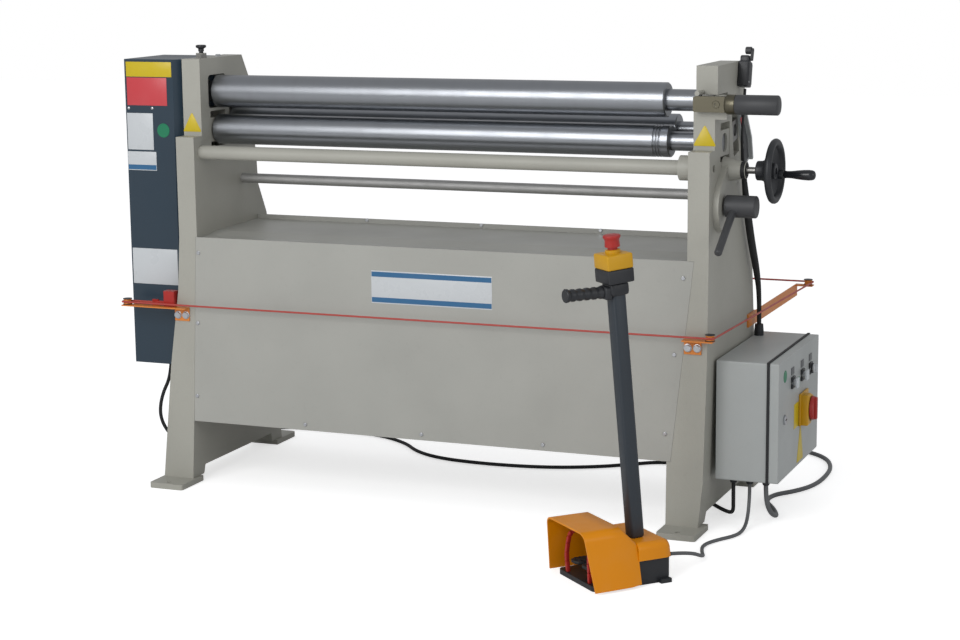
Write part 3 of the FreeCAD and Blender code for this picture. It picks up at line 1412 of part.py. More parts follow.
pedal_route = [
    (gland_xs[1], gland_y, gland_bottom), (gland_xs[1], gland_y, 62),
    *beyond(box_x0, [(71.5, -160, 18), (74.5, -205, 5), (71.5, -262, 5), (31.5, -324, 5),
                     (16.5, -375, 5), (31.5, -430, 5), (51.5, -480, 10), (34.5, -539, 36)]),
    tuple(pedal_exit)]
motor_route = [
    (gland_xs[0], gland_y, gland_bottom), (gland_xs[0], gland_y, 60),
    *beyond(box_x0, [(20.5, -106, 20), (-5.5, -62, 5.5), (-55.5, -10, 5.5), (-118.5, 70, 5.5),
                     (-158.5, 175, 5.5), (-188.5, 290, 5.5), (-238.5, 375, 5.5),
                     (-323.5, 385, 5.5), (-398.5, 325, 5.5), (-469.5, 272, 5.5),
                     (-573.5, 225, 5.5), (-680.5, 202, 5.5)]),
    *beyond(motor_x, [(792, 196, 5.5), (667, 211, 5.5), (572, 262, 5.5), (502, 345, 5.5),
                      (392, 410, 5.5), (252, 430, 5.5), (112, 425, 5.5), (-3, 370, 5.5),
                      (-68, 270, 5.5), (-93, 160, 5.5), (-110, 60, 30), (-103, -30, 110),
                      (-58, -95, 195)]),
    (motor_x, roll_y, 275), (motor_x, roll_y, shelf_z - 240)]
supply_route = [
    (gland_xs[2], gland_y, gland_bottom), (gland_xs[2], gland_y, 66),
    *beyond(box_x0, [(119.5, -112, 26), (124.5, -62, 6.5), (94.5, 12, 6.5), (58.5, 72, 6.5),
                     (61.5, 140, 6.5), (106.5, 195, 6.5), (138.5, 265, 6.5), (148.5, 360, 6.5),
                     (141.5, 480, 6.5), (101.5, 585, 6.5), (16.5, 650, 6.5), (-83.5, 665, 6.5),
                     (-173.5, 640, 6.5), (-223.5, 560, 6.5)])]
conduit_top = top_z + 22.0


def fall(share):
    """Height along the conduit, as a share of its fall from the switch to the trunk gland."""
    return gland_top + share * (conduit_top - gland_top)


conduit_route = [
    (right_back + 17, -6, conduit_top), (right_back + 17, -16, fall(0.917)),
    (right_back + 17, -30, fall(0.837)), (right_back + 17, -26, fall(0.741)),
    (right_back + 17, -4, fall(0.637)), (right_back + 17, 32, fall(0.494)),
    (right_back + 17, 74, fall(0.366)), (trunk_x, 122, fall(0.238)),
    (trunk_x, trunk_y, fall(0.126)), (trunk_x, trunk_y, gland_top)]

# ---------------------------------------------------------------- output
os.makedirs("parts", exist_ok=True)
left, right = left_frame(), right_frame()
case, motor_output = gear_motor()
nodes = {
    "left_frame": left,
    "right_frame": right,
    "adjuster_cover": group([adjuster_plate(), bearing_bracket(), shaft_seal(), idler_pin()]),
    "stand_panels": group([front_panel(), rear_panel()]),
    "top_tray": top_tray(),
    "panel_screws": panel_screws(),
    "gear_cover": gear_cover(),
    "drive_brackets": group([motor_bracket(), drive_bearing()]),
    "gear_motor": case,
    "motor_sprocket": fuse(sprocket(motor_z, motor_pitch_r, motor_teeth, 14), motor_output),
    "drive_chain": drive_chain(),
    "drive_shaft": fuse(drive_shaft(), sprocket(top_z, top_pitch_r, top_teeth, drive_shaft_r),
                        star_gear(roll_y, top_z, math.radians(270), star_x0, star_x1,
                                  drive_shaft_r)),
    "swivel_carrier": swivel_carrier(),
    "swivel_ring": swivel_ring(),
    "top_roll": top_roll(),
    "end_bearing": end_bearing(),
    "lower_roll": group([lower_roll(), star_gear(roll_y, lower_z, math.radians(105), star_x0,
                                                 star_x1, lower_shaft_r)]),
    "lower_blocks": lower_blocks(),
    "rear_roll": rear_roll(),
    "rear_blocks": rear_blocks(),
    "lift_screw_left": lift_screw(left_screw_x),
    "lift_screw_right": lift_screw(right_screw_x),
    "cross_shaft": cross_shaft(),
    "idler_gear": idler_gear(),
    "wheel_shaft": wheel_shaft(),
    "handwheel": handwheel(),
    "crank_handle": crank_handle(),
    "pinch_shaft": pinch_shaft(),
    "lever_hub": group([lever_hub(), lever_shaft()]),
    "lever_rod": lever_rod(),
    "keeper_gate": keeper_gate(),
    "keeper_grip": keeper_grip(),
    "limit_switch": limit_switch(),
    "switch_lever": switch_lever(),
    "scale_plate": scale_plate(),
    "plunger_knob": plunger_knob(),
    "rope_brackets": rope_brackets([left, right]),
    "rope_switch": rope_switch(),
    "safety_rope": safety_rope(),
    "control_box": control_box(right),
    "box_door": box_door(),
    "start_button": push_button(start_y),
    "stop_button": push_button(stop_y),
    "selector": selector(),
    "switch_body": switch_body(),
    "switch_handle": switch_handle(),
    "door_lock": door_lock(),
    "cable_glands": cable_glands(),
    "switch_conduit": cord(conduit_route, trunk_d, "switch conduit"),
    "pedal_cable": cord(pedal_route, pedal_cable_d, "pedal cable"),
    "motor_cable": cord(motor_route, motor_cable_d, "motor cable"),
    "supply_cable": cord(supply_route, supply_cable_d, "supply cable"),
    "pedal_base": on_floor(fuse(pedal_base(), strain_relief())),
    "pedal_hood": on_floor(pedal_hood()),
    "pedal_left": on_floor(foot_pedal(-1)),
    "pedal_right": on_floor(foot_pedal(1)),
    "column": on_floor(group([column(), column_grip()])),
    "estop_box": on_floor(group([stop_box(), stop_lid()])),
    "estop_button": on_floor(stop_button()),
}
for name, shape in nodes.items():
    if not shape.isValid() or shape.Volume < 100:
        print("check", name, shape.isValid(), round(shape.Volume))
    shape.exportStep("parts/" + name + ".step")
print(len(nodes), "nodes")
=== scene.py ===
"""Powered slip roll: finishes, fittings and cables around the machine's solid model.

The operators build their pieces in millimetres in the machine's own axes: X runs along the
rolls to the release end, Y from the operator to the rear and Z up from the floor.
"""

import math

import bmesh
import bpy
from mathutils import Matrix, Vector


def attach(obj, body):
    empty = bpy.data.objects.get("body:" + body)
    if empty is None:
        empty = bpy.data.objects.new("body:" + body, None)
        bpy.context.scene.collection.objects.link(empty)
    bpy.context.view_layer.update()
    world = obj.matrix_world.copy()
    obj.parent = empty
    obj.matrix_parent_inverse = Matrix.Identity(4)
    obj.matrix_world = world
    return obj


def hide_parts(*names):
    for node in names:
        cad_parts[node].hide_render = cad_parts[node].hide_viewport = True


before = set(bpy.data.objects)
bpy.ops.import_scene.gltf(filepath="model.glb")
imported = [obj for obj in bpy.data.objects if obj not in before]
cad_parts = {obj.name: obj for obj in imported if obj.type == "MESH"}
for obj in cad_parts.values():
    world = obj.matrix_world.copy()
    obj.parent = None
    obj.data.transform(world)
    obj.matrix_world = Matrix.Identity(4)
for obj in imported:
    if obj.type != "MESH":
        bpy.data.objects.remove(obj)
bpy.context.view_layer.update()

bl_info = {
    "name": "Slip Roll Machine",
    "version": (1, 0, 0),
    "blender": (4, 5, 0),
    "location": "View3D > Sidebar > Slip Roll",
    "description": "Finishes, fittings and cables on the solid model of a powered slip roll",
    "category": "Object",
}

MM = 0.001
X, Y, Z = Vector((1, 0, 0)), Vector((0, 1, 0)), Vector((0, 0, 1))

# Places on the machine in millimetres.
COVER_FRONT, HEAD_FRONT, PANEL_FRONT = -215.0, -217.0, -262.0
FRAME_TOP = 1155
DOOR_FACE = 941.5
BUTTON_HEIGHT = 359
START_Y, STOP_Y, SELECTOR_Y = -65, 36, 124
WHEEL_HUB = (859.5, -125, 896)
CRANK_PIN = (-66, 882)
LATCH_PIVOT_X, LATCH_HEIGHT = 786, 1065
PLUNGER_PLACE = (-667, -158)
MAIN_SWITCH = (DOOR_FACE, 48, 271)
DOOR_LOCK = (DOOR_FACE, -142, 279)
ROPE_HEIGHT = 500
ROPE_GUIDES = ((-856, -273), (786, -273), (815, 625))
BRACKET_BOLT_PLACES = (-704, -680, 727.5, 751.5)
COLUMN_X, COLUMN_Y, COLUMN_TOP = 32, 145, 704


def chip(red, green, blue):
    """Scene colour of a paint chip given in 0 to 255 display values."""
    parts = []
    for value in (red, green, blue):
        share = value / 255
        parts.append(share / 12.92 if share <= 0.04045 else ((share + 0.055) / 1.055) ** 2.4)
    return tuple(parts)


def colour(label, red, green, blue):
    return bpy.props.FloatVectorProperty(
        name=label, description="Colour of the " + label.lower(), subtype="COLOR", size=3,
        min=0.0, max=1.0, default=chip(red, green, blue))


class SlipRollPaints(bpy.types.PropertyGroup):
    """Colours of the paints, plastics and metals."""

    casting: colour("Casting enamel", 164, 163, 154)
    sheet: colour("Sheet enamel", 165, 165, 159)
    cabinet: colour("Cabinet enamel", 170, 174, 173)
    navy: colour("Drive cover enamel", 36, 54, 68)
    orange: colour("Bracket enamel", 216, 130, 52)
    steel: colour("Ground steel", 150, 153, 158)
    turned: colour("Turned steel", 140, 139, 136)
    zinc: colour("Zinc plating", 190, 192, 196)
    oiled: colour("Oiled steel", 104, 100, 86)
    slate: colour("Column enamel", 40, 48, 56)
    black: colour("Black plastic", 34, 36, 40)
    rubber: colour("Black rubber", 30, 31, 33)
    amber: colour("Amber plastic", 222, 138, 0)
    yellow: colour("Yellow plastic", 198, 148, 6)
    red: colour("Red plastic", 166, 36, 30)
    green: colour("Green plastic", 28, 120, 84)
    rope: colour("Rope sheath", 172, 66, 58)
    grey_cable: colour("Grey cable sheath", 96, 98, 100)
    white_plate: colour("White plate", 196, 200, 203)
    red_plate: colour("Red plate", 196, 66, 72)
    yellow_plate: colour("Yellow plate", 200, 176, 22)
    blue_band: colour("Blue band", 44, 98, 140)


class SlipRollSizes(bpy.types.PropertyGroup):
    """Sizes of the fittings that a user may change."""

    plate: bpy.props.FloatProperty(
        name="Plate thickness", description="Thickness of the label plates in millimetres",
        default=0.8, min=0.3, max=2.0, unit="NONE")
    key_light: bpy.props.FloatProperty(
        name="Key light", description="Power of the large front light",
        default=150.0, min=0.0, max=1000.0, unit="POWER")
    fill_light: bpy.props.FloatProperty(
        name="Fill light", description="Power of the side light",
        default=30.0, min=0.0, max=1000.0, unit="POWER")
    sky: bpy.props.FloatProperty(
        name="Surrounding light", description="Strength of the even light from all round",
        default=0.5, min=0.0, max=2.0)


# ---- surface effects
def effect_group(name, colours, numbers):
    """New shader node group: colours and numbers in, colour, roughness and height out."""
    tree = bpy.data.node_groups.new(name, "ShaderNodeTree")
    for label in colours:
        tree.interface.new_socket(label, in_out="INPUT", socket_type="NodeSocketColor")
    for label, value in numbers:
        socket = tree.interface.new_socket(label, in_out="INPUT", socket_type="NodeSocketFloat")
        socket.default_value = value
    for label, kind in (("Colour", "NodeSocketColor"), ("Roughness", "NodeSocketFloat"),
                        ("Height", "NodeSocketFloat")):
        tree.interface.new_socket(label, in_out="OUTPUT", socket_type=kind)
    return tree, tree.nodes.new("NodeGroupInput").outputs, tree.nodes.new("NodeGroupOutput").inputs


def feed(tree, value, socket):
    """Sets a socket to a number or links another node's output to it."""
    if isinstance(value, (int, float)):
        socket.default_value = value
    else:
        tree.links.new(value, socket)


def math_node(tree, operation, first, second):
    node = tree.nodes.new("ShaderNodeMath")
    node.operation = operation
    feed(tree, first, node.inputs[0])
    feed(tree, second, node.inputs[1])
    return node.outputs[0]


def noise(tree, scale, detail):
    """Noise in the piece's own coordinates."""
    node = tree.nodes.new("ShaderNodeTexNoise")
    node.inputs["Detail"].default_value = detail
    feed(tree, scale, node.inputs["Scale"])
    place = tree.nodes.new("ShaderNodeTexCoord").outputs["Object"]
    tree.links.new(place, node.inputs["Vector"])
    return node.outputs["Fac"]


def noise_along(tree, place, pitch, detail):
    """Noise that changes along one coordinate only."""
    node = tree.nodes.new("ShaderNodeTexNoise")
    node.noise_dimensions = "1D"
    node.inputs["Detail"].default_value = detail
    node.inputs["Scale"].default_value = 1.0
    tree.links.new(math_node(tree, "MULTIPLY", place, pitch), node.inputs["W"])
    return node.outputs["Fac"]


def spread(tree, value, low, high, start, end):
    """The value's range from low to high, laid out from start to end."""
    node = tree.nodes.new("ShaderNodeMapRange")
    tree.links.new(value, node.inputs["Value"])
    for socket, number in (("From Min", low), ("From Max", high), ("To Min", start),
                           ("To Max", end)):
        node.inputs[socket].default_value = number
    return node.outputs["Result"]


def blend_colours(tree, share, first, second):
    node = tree.nodes.new("ShaderNodeMix")
    node.data_type = "RGBA"
    tree.links.new(share, node.inputs["Factor"])
    tree.links.new(first, node.inputs["A"])
    tree.links.new(second, node.inputs["B"])
    return node.outputs["Result"]


def enamel_group():
    """Enamel over a casting or sheet: cloudy tone, dull patches and an uneven skin."""
    tree, start, end = effect_group(
        "Enamel Skin", ("Paint", "Shade"),
        (("Skin Size", 300.0), ("Skin Depth", 0.5), ("Dullness", 0.45)))
    clouds = noise(tree, 5.0, 4.0)
    specks = noise(tree, 90.0, 2.0)
    skin = noise(tree, start["Skin Size"], 2.0)
    share = math_node(tree, "ADD", spread(tree, clouds, 0.35, 0.75, 0.0, 0.8),
                      spread(tree, specks, 0.62, 0.8, 0.0, 0.35))
    tree.links.new(blend_colours(tree, share, start["Paint"], start["Shade"]), end["Colour"])
    rough = math_node(tree, "ADD", start["Dullness"],
                      spread(tree, clouds, 0.3, 0.8, -0.05, 0.08))
    tree.links.new(rough, end["Roughness"])
    tree.links.new(math_node(tree, "MULTIPLY", skin, start["Skin Depth"]), end["Height"])
    return tree


def tool_mark_group():
    """Steel turned or ground about the X axis: rings of fine marks and a faint tarnish."""
    tree, start, end = effect_group(
        "Tool Marks", ("Steel", "Tarnish"),
        (("Mark Pitch", 700.0), ("Mark Depth", 0.3), ("Finish", 0.28)))
    parts = tree.nodes.new("ShaderNodeSeparateXYZ")
    tree.links.new(tree.nodes.new("ShaderNodeTexCoord").outputs["Object"], parts.inputs[0])
    rings = noise_along(tree, parts.outputs["X"], start["Mark Pitch"], 2.0)
    bands = noise_along(tree, parts.outputs["X"], 24.0, 3.0)
    stains = noise(tree, 14.0, 4.0)
    share = math_node(tree, "ADD", spread(tree, stains, 0.45, 0.8, 0.0, 0.3),
                      spread(tree, bands, 0.45, 0.75, 0.0, 0.2))
    tree.links.new(blend_colours(tree, share, start["Steel"], start["Tarnish"]), end["Colour"])
    grooves = math_node(tree, "MULTIPLY", start["Mark Depth"],
                        spread(tree, rings, 0.3, 0.7, -0.06, 0.08))
    rough = math_node(tree, "ADD", math_node(tree, "ADD", start["Finish"], grooves),
                      spread(tree, stains, 0.4, 0.8, 0.0, 0.08))
    tree.links.new(rough, end["Roughness"])
    tree.links.new(math_node(tree, "MULTIPLY", rings, start["Mark Depth"]), end["Height"])
    return tree


def moulding_group():
    """Moulded plastic or rubber: fine pebbled skin, dust in patches and rubbed gloss."""
    tree, start, end = effect_group(
        "Moulded Skin", ("Plastic", "Dust"),
        (("Pebble Size", 900.0), ("Pebble Depth", 0.4), ("Dullness", 0.42)))
    patches = noise(tree, 18.0, 5.0)
    pebbles = noise(tree, start["Pebble Size"], 1.0)
    share = spread(tree, patches, 0.5, 0.85, 0.0, 0.5)
    tree.links.new(blend_colours(tree, share, start["Plastic"], start["Dust"]), end["Colour"])
    rough = math_node(tree, "ADD", start["Dullness"],
                      spread(tree, patches, 0.3, 0.8, -0.06, 0.12))
    tree.links.new(rough, end["Roughness"])
    tree.links.new(math_node(tree, "MULTIPLY", pebbles, start["Pebble Depth"]), end["Height"])
    return tree


finishes = {}


def dress(name, group, base, second, values, bump, metallic=0.0, specular=0.5,
          anisotropic=0.0):
    """Material that feeds one surface effect into a Principled shader."""
    material = bpy.data.materials.new(name)
    material.use_nodes = True
    tree = material.node_tree
    shader = tree.nodes["Principled BSDF"]
    effect = tree.nodes.new("ShaderNodeGroup")
    effect.node_tree = group
    effect.inputs[0].default_value = (*base, 1)
    effect.inputs[1].default_value = (*second, 1)
    for socket, value in zip(effect.inputs[2:], values):
        socket.default_value = value
    tree.links.new(effect.outputs["Colour"], shader.inputs["Base Color"])
    tree.links.new(effect.outputs["Roughness"], shader.inputs["Roughness"])
    relief = tree.nodes.new("ShaderNodeBump")
    relief.inputs["Strength"].default_value = bump
    relief.inputs["Distance"].default_value = MM
    tree.links.new(effect.outputs["Height"], relief.inputs["Height"])
    tree.links.new(relief.outputs["Normal"], shader.inputs["Normal"])
    for socket, value in (("Metallic", metallic), ("Specular IOR Level", specular),
                          ("Anisotropic", anisotropic)):
        shader.inputs[socket].default_value = value
    finishes[name] = material


def shade_of(base, share, towards=(0.5, 0.5, 0.5)):
    """Colour that lies the given share of the way towards another one."""
    return tuple(a + (b - a) * share for a, b in zip(base, towards))


class SLIPROLL_OT_finishes(bpy.types.Operator):
    """Makes the paints, steels and plastics and puts them on the solid model"""

    bl_idname = "slip_roll.finishes"
    bl_label = "Finishes"

    def execute(self, context):
        paints = context.scene.slip_roll_paints
        enamel, marks, moulded = enamel_group(), tool_mark_group(), moulding_group()
        white = (1, 1, 1)
        for name, base, size, depth, dull, bump in (
                ("Casting enamel", paints.casting, 220.0, 1.0, 0.46, 0.35),
                ("Sheet enamel", paints.sheet, 500.0, 0.5, 0.40, 0.12),
                ("Cabinet enamel", paints.cabinet, 900.0, 0.6, 0.42, 0.12),
                ("Navy enamel", paints.navy, 600.0, 0.5, 0.36, 0.10),
                ("Orange enamel", paints.orange, 500.0, 0.5, 0.40, 0.10),
                ("Slate enamel", paints.slate, 500.0, 0.5, 0.38, 0.10)):
            dress(name, enamel, base, shade_of(base, 0.22, shade_of(base, 0.5, (0, 0, 0))),
                  (size, depth, dull), bump)
        for name, base, pitch, depth, finish, turn, relief in (
                ("Ground steel", paints.steel, 260.0, 0.06, 0.30, 0.0, 0.0),
                ("Turned steel", paints.turned, 1400.0, 0.9, 0.32, 0.3, 0.10),
                ("Oiled steel", paints.oiled, 900.0, 0.6, 0.38, 0.2, 0.08),
                ("Dull steel", shade_of(paints.turned, 0.35, white), 600.0, 0.2, 0.62, 0.0, 0.02),
                ("Zinc plating", paints.zinc, 300.0, 0.2, 0.30, 0.0, 0.10)):
            dress(name, marks, base, shade_of(base, 0.25, (0.12, 0.11, 0.10)),
                  (pitch, depth, finish), relief, metallic=1.0, anisotropic=turn)
        for name, base, size, depth, dull in (
                ("Black plastic", paints.black, 900.0, 0.6, 0.40),
                ("Black satin", shade_of(paints.black, 0.03, white), 1500.0, 0.4, 0.48),
                ("Black rubber", paints.rubber, 700.0, 0.8, 0.62),
                ("Black gloss", paints.black, 500.0, 0.1, 0.16),
                ("Amber plastic", paints.amber, 700.0, 0.5, 0.34),
                ("Yellow plastic", paints.yellow, 900.0, 0.4, 0.36),
                ("Red plastic", paints.red, 900.0, 0.4, 0.36),
                ("Green plastic", paints.green, 900.0, 0.3, 0.34),
                ("White plastic", paints.white_plate, 900.0, 0.3, 0.34),
                ("Rope sheath", paints.rope, 900.0, 0.5, 0.40),
                ("Grey sheath", paints.grey_cable, 800.0, 0.6, 0.46),
                ("White plate", paints.white_plate, 500.0, 0.2, 0.30),
                ("Red plate", paints.red_plate, 500.0, 0.2, 0.34),
                ("Yellow plate", paints.yellow_plate, 500.0, 0.2, 0.34),
                ("Blue plate", paints.blue_band, 500.0, 0.2, 0.34)):
            dress(name, moulded, base, shade_of(base, 0.05), (size, depth, dull), 0.12,
                  specular=0.3 if name == "Amber plastic" else 0.45)
        worn = {
            "Casting enamel": ["left_frame", "right_frame", "adjuster_cover", "pinch_shaft",
                               "lower_blocks"],
            "Sheet enamel": ["stand_panels", "top_tray"],
            "Cabinet enamel": ["control_box", "box_door", "scale_plate"],
            "Navy enamel": ["gear_cover", "swivel_carrier"],
            "Slate enamel": ["column", "gear_motor", "drive_brackets"],
            "Orange enamel": ["rope_brackets"],
            "Ground steel": ["top_roll", "lower_roll", "rear_roll"],
            "Oiled steel": ["keeper_gate"],
            "Turned steel": ["end_bearing", "rear_blocks", "swivel_ring",
                             "idler_gear", "wheel_shaft", "lift_screw_left",
                             "lift_screw_right", "drive_shaft", "motor_sprocket",
                             "drive_chain", "door_lock"],
            "Dull steel": ["cross_shaft"],
            "Zinc plating": ["panel_screws"],
            "Black satin": ["lever_hub", "lever_rod", "keeper_grip"],
            "Black plastic": ["handwheel", "crank_handle", "limit_switch", "plunger_knob",
                              "cable_glands", "selector", "pedal_base", "pedal_left",
                              "pedal_right", "switch_lever"],
            "Black rubber": ["switch_conduit", "motor_cable"],
            "Grey sheath": ["pedal_cable", "supply_cable"],
            "Rope sheath": ["safety_rope"],
            "Red plastic": ["rope_switch", "switch_handle", "estop_button", "stop_button"],
            "Green plastic": ["start_button"],
            "Yellow plastic": ["switch_body", "estop_box"],
            "Amber plastic": ["pedal_hood"],
        }
        for finish, nodes in worn.items():
            for node in nodes:
                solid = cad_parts[node]
                solid.data.materials.clear()
                solid.data.materials.append(finishes[finish])
        return {"FINISHED"}


# ---- building pieces
WELD = 0.01     # turned points closer than this become one


class Form:
    """A piece under construction, in millimetres."""

    def __init__(self, place=None):
        self.mesh = bmesh.new()
        self.place = place or Matrix.Identity(4)

    def add(self, part, paint=0):
        for face in part.faces:
            face.material_index = paint
        part.transform(self.place)
        mesh = bpy.data.meshes.new("part")
        part.to_mesh(mesh)
        part.free()
        self.mesh.from_mesh(mesh)
        bpy.data.meshes.remove(mesh)

    def block(self, low, high, soft=0.0, paint=0, steps=3):
        part = bmesh.new()
        low, high = Vector(low), Vector(high)
        bmesh.ops.create_cube(part, size=1.0)
        bmesh.ops.scale(part, vec=high - low, verts=part.verts)
        bmesh.ops.translate(part, vec=(low + high) / 2, verts=part.verts)
        soften(part, part.edges, soft, steps)
        self.add(part, paint)

    def rod(self, start, end, radius, sides=40, soft=0.0, paint=0):
        part = bmesh.new()
        start, end = Vector(start), Vector(end)
        run = end - start
        turn = run.to_track_quat("Z", "Y").to_matrix().to_4x4()
        bmesh.ops.create_cone(part, cap_ends=True, cap_tris=False, segments=sides,
                              radius1=radius, radius2=radius, depth=run.length,
                              matrix=Matrix.Translation((start + end) / 2) @ turn)
        rims = [e for e in part.edges if any(len(f.verts) == sides for f in e.link_faces)]
        soften(part, rims, soft, 3)
        self.add(part, paint)

    def lathe(self, profile, origin, along=X, sides=48, paint=0):
        """Turns (distance along the axis, radius) points about an axis through origin."""
        part = bmesh.new()
        turn = Vector(along).to_track_quat("X", "Z").to_matrix().to_4x4()
        corners = [part.verts.new((a, 0, r)) for a, r in profile]
        edges = [part.edges.new(pair) for pair in zip(corners, corners[1:])]
        if profile[0][1] > 0 and profile[-1][1] > 0:
            edges.append(part.edges.new((corners[-1], corners[0])))
        bmesh.ops.spin(part, geom=corners + edges, cent=(0, 0, 0), axis=(1, 0, 0),
                       angle=math.tau, steps=sides, use_merge=True)
        bmesh.ops.remove_doubles(part, verts=part.verts, dist=WELD)
        bmesh.ops.recalc_face_normals(part, faces=part.faces)
        part.transform(Matrix.Translation(origin) @ turn)
        self.add(part, paint)

    def plate(self, outline, depth, soft=0.0, paint=0, steps=2):
        """Flat outline of points pushed along the depth vector."""
        part = bmesh.new()
        face = part.faces.new([part.verts.new(point) for point in outline])
        pushed = bmesh.ops.extrude_face_region(part, geom=[face])
        moved = [v for v in pushed["geom"] if isinstance(v, bmesh.types.BMVert)]
        bmesh.ops.translate(part, vec=Vector(depth), verts=moved)
        bmesh.ops.recalc_face_normals(part, faces=part.faces)
        soften(part, part.edges, soft, steps)
        self.add(part, paint)

    def beam(self, start, end, wide, tall, soft):
        """Bar between two points, wide across X and tall across its other side."""
        part = bmesh.new()
        start, end = Vector(start), Vector(end)
        run = end - start
        bmesh.ops.create_cube(part, size=1.0)
        bmesh.ops.scale(part, vec=(wide, tall, run.length), verts=part.verts)
        soften(part, part.edges, soft, 3)
        side = X.cross(run).normalized()
        across = run.normalized().cross(side) * -1
        turn = Matrix((across, side, run.normalized())).transposed().to_4x4()
        part.transform(Matrix.Translation((start + end) / 2) @ turn)
        bmesh.ops.recalc_face_normals(part, faces=part.faces)
        self.add(part)

    def finish(self, name, body, paints, stands_for=(), slot=None, sharp=40.0):
        """Turns the form into a shaded piece that rides on a body of the machine."""
        bmesh.ops.scale(self.mesh, vec=(MM, MM, MM), verts=self.mesh.verts)
        mesh = bpy.data.meshes.new(name)
        self.mesh.to_mesh(mesh)
        self.mesh.free()
        mesh.shade_smooth()
        mesh.set_sharp_from_angle(angle=math.radians(sharp))
        for paint in paints:
            mesh.materials.append(finishes[paint])
        settle(bpy.data.objects.new(name, mesh), body, stands_for)


def soften(part, edges, width, steps):
    """Rounds the edges over the given width."""
    if width > 0:
        bmesh.ops.bevel(part, geom=list(edges), offset=width, offset_type="OFFSET",
                        segments=steps, profile=0.5, affect="EDGES", clamp_overlap=True,
                        material=-1)


def settle(piece, body, stands_for=()):
    """Puts a piece on a body, in place of the solids it stands for."""
    bpy.context.scene.collection.objects.link(piece)
    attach(piece, body)
    if stands_for:
        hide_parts(*stands_for)


def leaning(foot, degrees):
    """Tilt about the X direction through a foot point."""
    foot = Vector(foot)
    return (Matrix.Translation(foot) @ Matrix.Rotation(math.radians(degrees), 4, "X")
            @ Matrix.Translation(-foot))


def turned_piece(name, body, paint, profile, origin, along=X, sides=48, stands_for=(),
                 slot=None):
    """Piece of one paint that is turned from one profile."""
    form = Form()
    form.lathe(profile, origin, along=along, sides=sides)
    form.finish(name, body, (paint,), stands_for, slot)


def run_line(name, points, diameter, finish):
    """Smooth round line through control points given in metres."""
    curve = bpy.data.curves.new(name, "CURVE")
    curve.dimensions = "3D"
    curve.bevel_depth = diameter / 2
    curve.bevel_resolution = 5
    curve.resolution_u = 10
    curve.use_fill_caps = True
    spline = curve.splines.new("NURBS")
    spline.points.add(len(points) - 1)
    for point, place in zip(spline.points, points):
        point.co = (*place, 1)
    spline.order_u = 3
    spline.use_endpoint_u = True
    curve.materials.append(finishes[finish])
    return bpy.data.objects.new(name, curve)


# ---- stage
FLOOR_DROP = 0.0006     # keeps the floor clear of the pads' undersides
FLOOR_LIFT = 0.62       # glow that brings the floor up to the backdrop's white
CAMERA_PLACE = (2.1772, -5.1624, 1.4695)
CAMERA_TURN, CAMERA_TILT, CAMERA_ROLL = 22.21, 10.31, -0.6      # degrees
CAMERA_REACH = 2110.7 / 960     # focal length over the picture's width
SENSOR_WIDTH = 36.0


